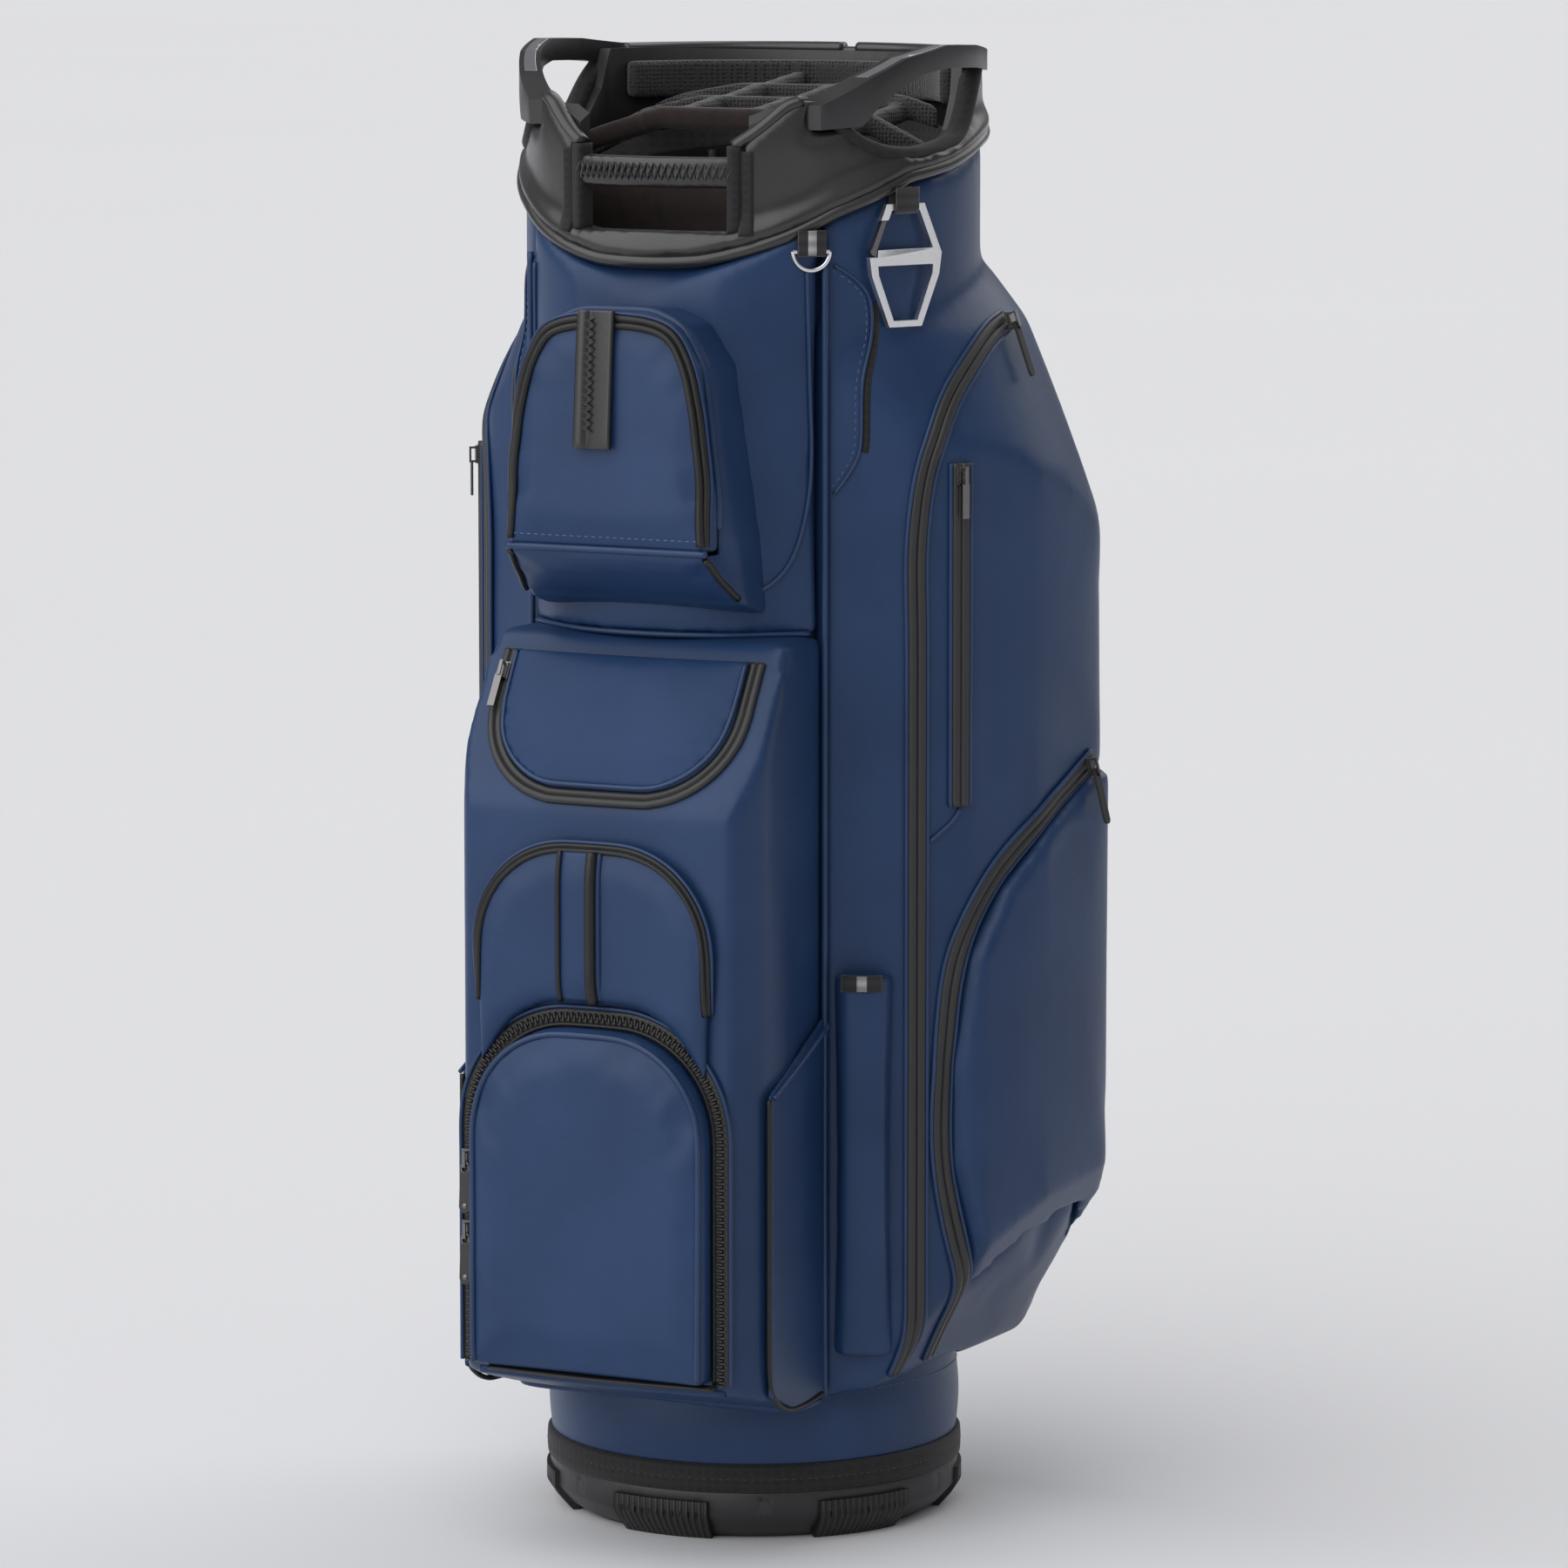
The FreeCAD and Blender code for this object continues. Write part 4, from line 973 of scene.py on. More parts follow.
def finish_hard_parts():
    for name in ("side_handle_right", "side_handle_left"):
        bevel_node(name, 0.0022, 3)
    for name in ("base_shell", "foot_pads", "top_frame"):
        bevel_node(name, 0.0008)
    for name in ("towel_clip", "clip_gate", "handle_inlays", "d_ring"):
        bevel_node(name, 0.0004)


SIDES = build_sides()
COLUMN, PANEL = build_column()
DOOR, ARCH = build_door()
FLAP = build_flap()
LID, FINDER = build_finder()
CUFF, GRIP = build_cuff()
build_mouth()
finish_hard_parts()


# ---- piping, zips and stitching -----------------------------------------------------------------------------
def shifted(profile, across, out=0.0):
    return [(u + across, v + out) for u, v in profile]


def trim(obj, body, replaces=()):
    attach(obj, body)
    if replaces:
        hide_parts(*replaces)
    return obj


def both_sides(obj, label, replaces=()):
    """Sets a right-hand trim in place and its mirror image on the left."""
    left = mirror_copy(obj, f"{label}_left")
    left.data.shade_smooth()
    trim(obj, "bag", replaces)
    trim(left, "bag")
    return obj


def build_side_zips():
    skin = Skin(SIDES["side"], SIDES["lower"])
    width, height = 0.0125, 0.0030
    first = True
    for label, line, aim in (("long_zip", LONG_ZIP, (-1, 0.35, 0)), ("upright_zip", UPRIGHT_ZIP, (-1, 0.5, 0)),
                             ("lower_zip", LOWER_ZIP, (-1, 0.1, 0))):
        found, outward = skin.cast(spaced([p for p in side_points(line)], 0.003), (-1, 0, 0))
        path = eased(found, 8)
        outward = eased(outward, 14, unit=True)
        tape = sweep(f"{label}_right", path, outward, tape_profile(width, height), "tape")
        both_sides(tape, label, ["side_zips"] if first else ())
        first = False
        for edge, across in (("inner", -width / 2 - 0.0009), ("outer", width / 2 + 0.0009)):
            rim = sweep(f"{label}_{edge}_piping_right", path, outward,
                        shifted(round_profile(0.0014), across), "navy_edge")
            both_sides(rim, f"{label}_{edge}_piping")


def build_side_seams():
    skin = Skin(SIDES["side"])
    found, outward = skin.cast(spaced(side_points([(-49, 465), (-51, 459), (-58, 452), (-66, 445)]), 0.003), (-1, 0, 0))
    rib = sweep("side_seam_right", eased(found, 3), eased(outward, 6, unit=True), round_profile(0.0013), "navy_edge")
    both_sides(rib, "side_seam")


def column_crease():
    """The crease between the front and the side, from the foot's skirt to the cuff."""
    return [Vector((0.1022, -0.1032, 0.096 + 0.71 * k / 120)) for k in range(121)]


def build_piping():
    path = column_crease()
    outward = [Vector((0.62, -0.78, 0)).normalized()] * len(path)
    rib = sweep("column_piping_right", path, outward, round_profile(0.0021), "navy_edge")
    both_sides(rib, "column_piping", ["column_piping"])
    skin = Skin(PANEL, COLUMN)
    rough = [Vector((x * MM, -0.2, 0.5800)) for x in range(-97, 98, 6)]
    found, _ = skin.cast(spaced(rough, 0.004), (0, 1, 0))
    found = [p - Vector((0, 0, 0.0040)) for p in eased(found, 6)]
    outward = [Vector((p.x * 0.9, p.y, 0.04)).normalized() for p in found]
    trim(sweep("yoke_piping", found, outward, round_profile(0.0018), "navy_edge"), "bag")
    half = [(94.5, 800), (95, 740), (95, 680), (93.5, 648), (88, 622), (77, 606), (58, 599)]
    gusset = half + [(0, 597)] + [(-x, z) for x, z in half[::-1]]
    found, outward = Skin(PANEL).cast(spaced([Vector((x * MM, -0.2, z * MM)) for x, z in gusset], 0.004), (0, 1, 0))
    found, outward = eased(found, 6), eased(outward, 12, unit=True)
    trim(sweep("gusset_piping", found, outward, round_profile(0.0014), "navy_edge"), "bag")
    lo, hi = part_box("ball_door")
    fold = oval(0.0052, 0.0016)
    lip = round_profile(0.0032, 1.0)
    for label, y, z, left, look, profile in (("hinge_fold", lo.y + 0.0075, lo.z - 0.0020, -0.86, "black_edge", fold),
                                             ("column_lip", lo.y + 0.0214, lo.z - 0.0072, -1.04, "navy", lip)):
        ends = [Vector((hi.x * t, y + 0.002 * t * t, z + 0.0008 * t * t)) for t in (left, -0.5, 0, 0.5, 1.04)]
        path = spaced(ends, 0.003)
        trim(sweep(label, path, [Vector((0, 0, -1))] * len(path), profile, look), "bag")
    skin = Skin(COLUMN)
    low = float(coords(COLUMN)[:, 2].min())
    hem = []
    for degrees in range(-182, 3, 2):
        aim = Vector((math.cos(math.radians(degrees)), math.sin(math.radians(degrees)), 0))
        hem += skin.cast([Vector((0, -0.108, low + 0.0045))], -aim, 0.3)[0]
    path = eased(hem, 5)
    away = [Vector((p.x, p.y + 0.108, 0)).normalized() for p in path]
    trim(sweep("column_hem", path, away, round_profile(0.0030, 1.1), "navy"), "bag")


def build_ball_zip():
    lo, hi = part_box("ball_zip")
    mid, plane = 0.0052, hi.y + 0.0001
    line = arch_line(hi.x - mid, lo.z, hi.z - mid, 0.0712)
    path = spaced([Vector((x, plane, z)) for x, z in line], 0.001)
    outward = [Vector((0, -1, 0))] * len(path)
    tape = sweep("ball_zip_tape", path[::3], outward[::3], tape_profile(0.0108, 0.0026), "tape")
    trim(tape, "bag", ["ball_zip"])
    lifted = [p + Vector((0, -0.0024, 0)) for p in path]
    teeth = tooth_row("ball_zip_teeth", lifted, outward, "teeth", 0.002, (0.0014, 0.0044, 0.0019), 0.0009)
    trim(teeth, "bag")
    for label, across in (("outer", 0.0064), ("inner", -0.0049)):
        rib = sweep(f"ball_zip_{label}_piping", path[::3], outward[::3],
                    shifted(round_profile(0.0014), -across, 0.0012), "navy_edge" if label == "outer" else "black_edge")
        trim(rib, "bag")
    for label, across in (("outer", -0.0036), ("inner", 0.0036)):
        run = stitches(f"ball_zip_{label}_stitching", lifted, outward, "black_thread", 0.0026, 0.0014, 0.00022, across)
        trim(run, "bag")
    lo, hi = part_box("ball_door")
    line = arch_line(hi.x - 0.0038, lo.z + 0.0035, hi.z - 0.0038, 0.0622)
    found, outward = Skin(DOOR).cast(spaced([Vector((x, -0.25, z)) for x, z in line], 0.003), (0, 1, 0))
    rib = sweep("door_piping", eased(found, 5), eased(outward, 12, unit=True), round_profile(0.0019, 0.55),
                "navy_edge")
    trim(rib, "ball_door")


def slope_line(half, low_s, high_s, radius, off, step=0.002):
    """A U on the quick pocket's slope, from the top of one leg round to the other."""
    foot, up, out = slope_frame()
    line = [(x, low_s + high_s - s) for x, s in arch_line(half, low_s, high_s, radius)]
    return spaced([foot + Vector((x, 0, 0)) + up * s + out * off for x, s in line], step)


def build_quick_zip():
    _, _, out = slope_frame()
    path = slope_line(0.0858, 0.0062, 0.102, 0.0592, 0.0003)
    outward = [out] * len(path)
    trim(sweep("quick_zip_tape", path, outward, tape_profile(0.0102, 0.0030), "tape"), "bag",
         ["quick_zip"])
    trim(sweep("quick_zip_piping", path, outward, shifted(round_profile(0.0016), -0.0066, 0.0008), "navy_edge"),
         "bag")
    rough = slope_line(0.0785, 0.0135, 0.1, 0.052, 0.0045, 0.003)
    found, outward = Skin(FLAP).nearest(rough)
    rib = sweep("flap_piping", eased(found, 4), eased(outward, 10, unit=True), round_profile(0.0015), "navy_edge")
    trim(rib, "quick_flap")


def build_arch_trim():
    skin = Skin(ARCH)
    line = [p for p in arch_line(0.0790, 0.312, 0.4490, 0.062)]
    found, outward = skin.cast(spaced([Vector((x, -0.2, z)) for x, z in line], 0.003), (0, 1, 0))
    path, outward = eased(found, 5), eased(outward, 14, unit=True)
    trim(sweep("arch_edge", path, outward, tape_profile(0.0062, 0.0022), "black_edge"), "bag")
    trim(sweep("arch_piping", path, outward, shifted(round_profile(0.0012), -0.0041), "navy_edge"), "bag")
    strip = [(-0.0155, -0.0006), (-0.0155, 0.0012), (-0.0145, 0.0019), (0.0145, 0.0019), (0.0155, 0.0012),
             (0.0155, -0.0006)]
    rough = spaced([Vector((-0.0065, -0.2, z * MM)) for z in (352, 380, 410, 447)], 0.003)
    found, outward = skin.cast(rough, (0, 1, 0))
    path, outward = eased(found, 6), eased(outward, 10, unit=True)
    trim(sweep("strap_face", path, outward, strip, "navy"), "bag", ["centre_strap"])
    for label, across, radius in (("left", -0.0128, 0.0016), ("right", 0.0098, 0.0036)):
        rib = sweep(f"strap_edge_{label}", path, outward, shifted(round_profile(radius, 0.75), across, 0.0018),
                    "black_edge")
        trim(rib, "bag")


def build_finder_trim():
    skin = Skin(LID)
    face = [(-70, 636), (-67, 690), (-60, 730), (-50, 757), (-34, 769), (0, 772), (34, 769), (50, 757), (60, 730),
            (67, 690), (70, 636)]
    found, outward = skin.nearest(spaced([Vector((x * MM, -0.1985, z * MM)) for x, z in face], 0.003))
    path, outward = eased(found, 5), eased(outward, 12, unit=True)
    trim(sweep("lid_edge", path, outward, tape_profile(0.0088, 0.0030), "black_edge"), "finder_lid")
    trim(sweep("lid_piping", path, outward, shifted(round_profile(0.0012), -0.0054), "navy_edge"), "finder_lid")
    rough = spaced([Vector((x * MM, -0.2, 0.6395)) for x in range(-64, 65, 8)], 0.001)
    found, outward = skin.cast(rough, (0, 1, 0))
    trim(stitches("lid_stitching", found, eased(outward, 10, unit=True), "navy_thread"), "finder_lid")
    ring = []
    for degrees in range(-38, 219, 2):
        aim = Vector((math.cos(math.radians(degrees)), 0, math.sin(math.radians(degrees))))
        ring += skin.cast([Vector((0, -0.1875, 0.700))], -aim, 0.3)[0]
    path = [Vector((p.x, -0.1814, p.z)) for p in eased(ring, 6)]
    away = [Vector((p.x, 0, p.z - 0.700)).normalized() for p in path]
    trim(sweep("lid_rim", path, away, round_profile(0.0026, 1.0), "navy_edge"), "finder_lid")
    fold = spaced([Vector((x, -0.1980, 0.6316)) for x in (-0.0695, 0, 0.0695)], 0.003)
    trim(sweep("lid_fold", fold, [Vector((0, -1, 0))] * len(fold), round_profile(0.0023, 1.0), "navy_edge"), "bag")
    under = Skin(FINDER)
    rough = spaced([Vector((0.0715, -0.1975, 0.628)), Vector((0.074, -0.184, 0.614)), Vector((0.076, -0.165, 0.601))],
                   0.003)
    found, outward = under.nearest(rough)
    rib = sweep("finder_corner_right", eased(found, 4), eased(outward, 8, unit=True), round_profile(0.0022),
                "black_edge")
    both_sides(rib, "finder_corner")


def build_tab():
    ridge = [(-0.0125, -0.0018), (-0.0125, 0.0006), (-0.0114, 0.0016), (-0.0100, 0.0010), (0.0020, 0.0010),
             (0.0030, 0.0003), (0.0042, 0.0022), (0.0072, 0.0034), (0.0104, 0.0030), (0.0125, 0.0008),
             (0.0125, -0.0018)]
    line = [Vector((-0.006, y * MM, z * MM)) for y, z in ((-198.4, 778), (-200.6, 755), (-202.6, 728), (-204.6, 700),
                                                          (-204.6, 694))]
    path = spaced(line, 0.001)
    outward = [Vector((0, -1, -0.08)).normalized()] * len(path)
    tab = sweep("finder_pull", path, outward, ridge, "black")
    trim(tab, "finder_lid", ["finder_tab"])
    lifted = [p + Vector((-0.0040, -0.0011, 0)) for p in path]
    trim(cross_stitches("finder_pull_stitching", lifted[4:-6], outward[4:-6], "black_thread", 0.0052, 0.0095, 0.0007),
         "finder_lid")


# ---- foot, cover and back -----------------------------------------------------------------------------------
def circle(radius, z, count=240, start=0.0, stop=360.0):
    span = stop - start
    last = count if span < 359.9 else count
    return [Vector((radius * math.sin(math.radians(start + span * k / last)),
                    -radius * math.cos(math.radians(start + span * k / last)), z))
            for k in range(count + (1 if span < 359.9 else 0))]


def radial(path):
    return [Vector((p.x, p.y, 0)).normalized() for p in path]


def build_skirt():
    lo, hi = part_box("binding_band")
    band = [(-0.0088, -0.0030), (-0.0088, 0.0014), (-0.0072, 0.0026), (-0.0030, 0.0029), (0.0, 0.0026),
            (0.0030, 0.0029), (0.0072, 0.0026), (0.0088, 0.0014), (0.0088, -0.0030)]
    path = circle(0.1301, (lo.z + hi.z) / 2)
    trim(sweep("foot_binding", path, radial(path), band, "binding", closed=True), "bag",
         ["binding_band"])
    for label, z, look, radius in (("foot_binding_stitching", 0.0412, "black_thread", 0.1328),
                                   ("skirt_stitching", 0.0945, "navy_thread", 0.1302)):
        path = circle(radius, z, 820)
        trim(stitches(label, path, radial(path), look, 0.0032, 0.0015, 0.0003), "bag")


def cover_height(y):
    return np.interp(y, [p[0] * MM for p in SEAM], [p[1] * MM for p in SEAM]) - 0.0006


def build_cover():
    """The padded cover of the tube: a skirt over the foot, then a plain wall that shows at the back."""
    turns, rows = 180, 90
    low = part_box("tube_cover")[0].z
    verts, faces = [], []
    for i in range(turns):
        angle = 2 * math.pi * i / turns
        sx, sy = math.sin(angle), -math.cos(angle)
        top = float(cover_height(0.1295 * sy))
        for j in range(rows + 1):
            share = (j / rows) ** 1.6
            z = low + (top - low) * share
            skirt = 0.0016 * math.sin(math.pi * min(1.0, max(0.0, (z - low) / (0.0945 - low))))
            wall = 0.0012 * math.sin(math.pi * min(1.0, max(0.0, (z - 0.0955) / (top - 0.0955))))
            ripple = 0.00035 * math.sin(angle * 9 + z * 24) * math.sin(z * 31 + angle * 3)
            r = 0.1299 + skirt + wall + ripple * min(1.0, (z - low) / 0.05)
            verts.append((r * sx, r * sy, z))
        for z in (top, low):
            verts.append((0.1271 * sx, 0.1271 * sy, z))
    size = rows + 3
    for i in range(turns):
        a, b = i * size, ((i + 1) % turns) * size
        for j in range(size):
            k = (j + 1) % size
            faces.append((a + j, b + j, b + k, a + k))
    cover = from_rows("cover_skin", verts, faces, "navy")
    cover.data.materials.append(MATS["lining"])
    for poly in cover.data.polygons:
        poly.material_index = int(all(math.hypot(*verts[i][:2]) < 0.1275 for i in poly.vertices))
    settle(cover, "bag", ["tube_cover"], levels=0)


def build_back():
    """The back pad: three quilted fields with sewn channels between them."""
    lo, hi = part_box("back_panel")
    nx, nz = 56, 220
    channels = (0.0, 0.34, 0.67, 1.0)
    grid = []
    for j in range(nz + 1):
        v = j / nz
        z = lo.z + (hi.z - lo.z) * v
        to_seam = min(abs(v - c) for c in channels) * (hi.z - lo.z)
        row = []
        for i in range(nx + 1):
            u = i / nx
            x = lo.x + (hi.x - lo.x) * u
            to_side = min(u, 1 - u) * (hi.x - lo.x)
            puff = (1 - math.exp(-to_side / 0.010)) * (1 - math.exp(-to_seam / 0.011))
            wave = 1 + 0.06 * math.sin(x * 55 + z * 17) * math.sin(z * 43)
            row.append((x, lo.y + 0.0012 + 0.0062 * puff * wave, z))
        grid.append(row)
    verts = [p for row in grid for p in row]
    count = len(verts)
    pocket_top = 0.810
    for x, _, z in verts[:count]:
        above = min(1.0, max(0.0, (z - pocket_top) / 0.006))
        verts.append((x, lo.y + above * (min(math.sqrt(0.1318 ** 2 - x * x), lo.y) - lo.y), z))
    width = nx + 1
    faces = []
    for j in range(nz):
        for i in range(nx):
            a = j * width + i
            faces.append((a, a + width, a + width + 1, a + 1))
            faces.append((count + a, count + a + 1, count + a + width + 1, count + a + width))
    rim = list(range(width)) + [j * width + nx for j in range(1, nz + 1)]
    rim += [nz * width + i for i in range(nx - 1, -1, -1)] + [j * width for j in range(nz - 1, 0, -1)]
    for a, b in zip(rim, rim[1:] + rim[:1]):
        faces.append((a, b, count + b, count + a))
    pad = from_rows("back_pad", verts, faces, "navy")
    settle(pad, "bag", ["back_panel"], levels=0)
    corners = [Vector((x, lo.y + 0.0012, z)) for x, z in ((lo.x, lo.z), (hi.x, lo.z), (hi.x, hi.z), (lo.x, hi.z))]
    path = []
    for a, b in zip(corners, corners[1:] + corners[:1]):
        steps = max(2, int((b - a).length / 0.004))
        path += [a.lerp(b, k / steps) for k in range(steps)]
    rib = sweep("back_piping", path, [Vector((0, 1, 0))] * len(path), round_profile(0.0019), "navy_edge", closed=True)
    trim(rib, "bag")
    for index, v in enumerate(channels[1:-1]):
        z = lo.z + (hi.z - lo.z) * v
        line = spaced([Vector((lo.x + 0.004, lo.y + 0.0012, z)), Vector((hi.x - 0.004, lo.y + 0.0012, z))], 0.001)
        run = stitches(f"back_channel_stitching_{index}", line, [Vector((0, 1, 0))] * len(line), "navy_thread")
        trim(run, "bag")


# ---- small soft pieces --------------------------------------------------------------------------------------
def half_of(name, source, look, test):
    """The solids of a CAD node whose middle passes the test, as one welded mesh."""
    obj = copy_node(name, source, look)
    bm = bmesh.new()
    bm.from_mesh(obj.data)
    for part in loose_parts(bm):
        co = np.array([v.co for v in part])
        if not test((co.min(0) + co.max(0)) / 2):
            bmesh.ops.delete(bm, geom=part, context="VERTS")
    bm.to_mesh(obj.data)
    bm.free()
    return obj


def build_sleeves():
    sleeve = half_of("sleeve_right", "side_sleeves", "navy", lambda c: c[0] > 0)
    bm = bmesh.new()
    for vert in sleeve.data.vertices:
        bm.verts.new(vert.co)
    made = bmesh.ops.convex_hull(bm, input=bm.verts)
    spare = {g for g in made["geom_interior"] + made["geom_unused"] if isinstance(g, bmesh.types.BMVert)}
    bmesh.ops.delete(bm, geom=list(spare), context="VERTS")
    bmesh.ops.recalc_face_normals(bm, faces=bm.faces)
    bm.to_mesh(sleeve.data)
    bm.free()
    top = float(coords(sleeve)[:, 2].max())
    soften(sleeve, 0.0028, 8)
    co = coords(sleeve)
    start, along, out = np.array([0.1045, -0.0988]), np.array([0.894, 0.447]), np.array([0.447, -0.894])
    across = (co[:, :2] - start) @ along / 0.0407
    depth = (co[:, :2] - start) @ out
    dome = 0.45 + 0.55 * np.sqrt(np.clip(1 - (2 * across - 1) ** 2, 0, 1))
    fade = np.clip((co[:, 2] - 0.118) / 0.11, 0, 1)
    dome *= 0.4 + 0.6 * fade * fade * (3 - 2 * fade)
    co[:, :2] += out[None, :] * (depth * (dome - 1))[:, None]
    set_coords(sleeve, co)
    swell(sleeve, 4.0, 0.0030)
    cut_open(sleeve, [((0, 0, top - 0.004), (0, 0, 1))], lambda c: c.z > top - 0.004, 0.0018)
    left = mirror_copy(sleeve, "sleeve_left")
    settle(sleeve, "bag", ["side_sleeves"])
    settle(left, "bag", ())
    skin = Skin(sleeve)
    aim = Vector((-0.447, 0.894, 0))
    a, b = Vector((0.1165, -0.1070, 0.3590)), Vector((0.1385, -0.0960, 0.3590))
    found, outward = skin.cast(spaced([a, b], 0.0015), aim, 0.05)
    path, outward = eased(found, 4), eased(outward, 8, unit=True)
    ribbon = [(-0.0052, -0.0004), (-0.0052, 0.0010), (-0.0046, 0.0015), (0.0046, 0.0015), (0.0052, 0.0010),
              (0.0052, -0.0004)]
    both_sides(sweep("sleeve_band_right", path, outward, ribbon, "webbing"), "sleeve_band",
               ["sleeve_webbing"])
    middle = len(path) // 2
    tag = [(u * 0.92, v + 0.0004) for u, v in ribbon]
    both_sides(sweep("sleeve_tag_right", path[middle - 2:middle + 3], outward[middle - 2:middle + 3], tag, "stripe"),
               "sleeve_tag")


SLIP_STITCH = 0.0034


def build_slips():
    skin = Skin(SIDES["side"])
    flap = half_of("corner_flap_right", "slip_pockets", "navy", lambda c: c[0] > 0 and c[2] < 0.45)
    soften(flap, 0.0013, 4)
    left = mirror_copy(flap, "corner_flap_left")
    settle(flap, "bag", ["slip_pockets"], levels=0)
    settle(left, "bag", (), levels=0)
    edge = [Vector((0.1092, y * MM, z * MM)) for y, z in ((-187, 298), (-160, 310), (-130, 324), (-112, 333))]
    path = spaced(edge, 0.003)
    rib = sweep("corner_flap_edge_right", path, [Vector((1, -0.05, 0.15)).normalized()] * len(path),
                round_profile(0.0015), "navy_edge")
    both_sides(rib, "corner_flap_edge")
    side = [(107.4, -188.6, 297), (107.4, -188.8, 240), (107.4, -188.8, 180), (107.2, -188.0, 128), (106.8, -181, 110),
            (106.2, -162, 99), (105.0, -136, 97), (104.2, -110, 99)]
    path = spaced([Vector(p) * MM for p in side], 0.003)
    rib = sweep("corner_flap_side_right", path, [Vector((0.8, -0.6, 0)).normalized()] * len(path),
                round_profile(0.0017, 0.8), "black_edge")
    both_sides(rib, "corner_flap_side")
    outline = [(105, 803), (112, 797), (118.5, 787), (120.8, 774), (121, 740), (121, 700), (119.5, 686), (114, 674),
               (106, 662)]
    found, outward = skin.cast(spaced([Vector((x * MM, -0.2, z * MM)) for x, z in outline], 0.001), (0, 1, 0))
    path, outward = eased(found, 12), eased(outward, 24, unit=True)
    both_sides(sweep("slip_piping_right", path[::3], outward[::3], round_profile(0.0012), "navy_edge"),
               "slip_piping")
    both_sides(stitches("slip_stitching_right", path, outward, "navy_thread", across=SLIP_STITCH), "slip_stitching")
    # A black strip inside the slip pocket's opening is painted shadow: it stands in for the shade in the gap.
    share = len(path) // 5
    both_sides(sweep("slip_mouth_right", path[share:-share:3], outward[share:-share:3],
                     shifted([(-0.0022, -0.0008), (-0.0022, 0.0003), (0, 0.0007), (0.0022, 0.0003),
                              (0.0022, -0.0008)], -SLIP_STITCH), "binding"), "slip_mouth_shadow")


def loop_path(bearing, radius, height, inner, top):
    """The line of a folded loop: down outside the bar, round under it and up inside."""
    a = math.radians(bearing)
    out = Vector((math.sin(a), -math.cos(a), 0))
    middle = inner + 0.0007
    rows = []
    steps = 12
    for k in range(steps):
        rows.append((out * (radius + middle) + Vector((0, 0, top + (height - top) * k / steps)), out))
    for k in range(13):
        t = math.pi * k / 12
        away = out * math.cos(t) + Vector((0, 0, -math.sin(t)))
        rows.append((out * radius + Vector((0, 0, height)) + away * middle, away))
    for k in range(1, steps + 1):
        rows.append((out * (radius - middle) + Vector((0, 0, height + (top - height) * k / steps)), -out))
    return [r[0] for r in rows], [r[1] for r in rows]


def build_webbing():
    rings = (("ring", 41, 0.1487, 0.812, 0.0018, 0.825), ("clip", 66, 0.1481, 0.838, 0.0030, 0.850))
    for label, bearing, radius, height, inner, top in rings:
        path, outward = loop_path(bearing, radius, height, inner, top)
        half = 0.0089
        band = [(-half, -0.0006), (-half, 0.0005), (-half * 0.9, 0.0007), (half * 0.9, 0.0007), (half, 0.0005),
                (half, -0.0006)]
        trim(sweep(f"{label}_loop", path, outward, band, "webbing"), "bag", [f"{label}_webbing"])
        if label == "ring":
            stripe = [(u * 0.3, v + 0.0003) for u, v in band]
            trim(sweep("ring_stripe", path[:16], outward[:16], stripe, "stripe"), "bag")


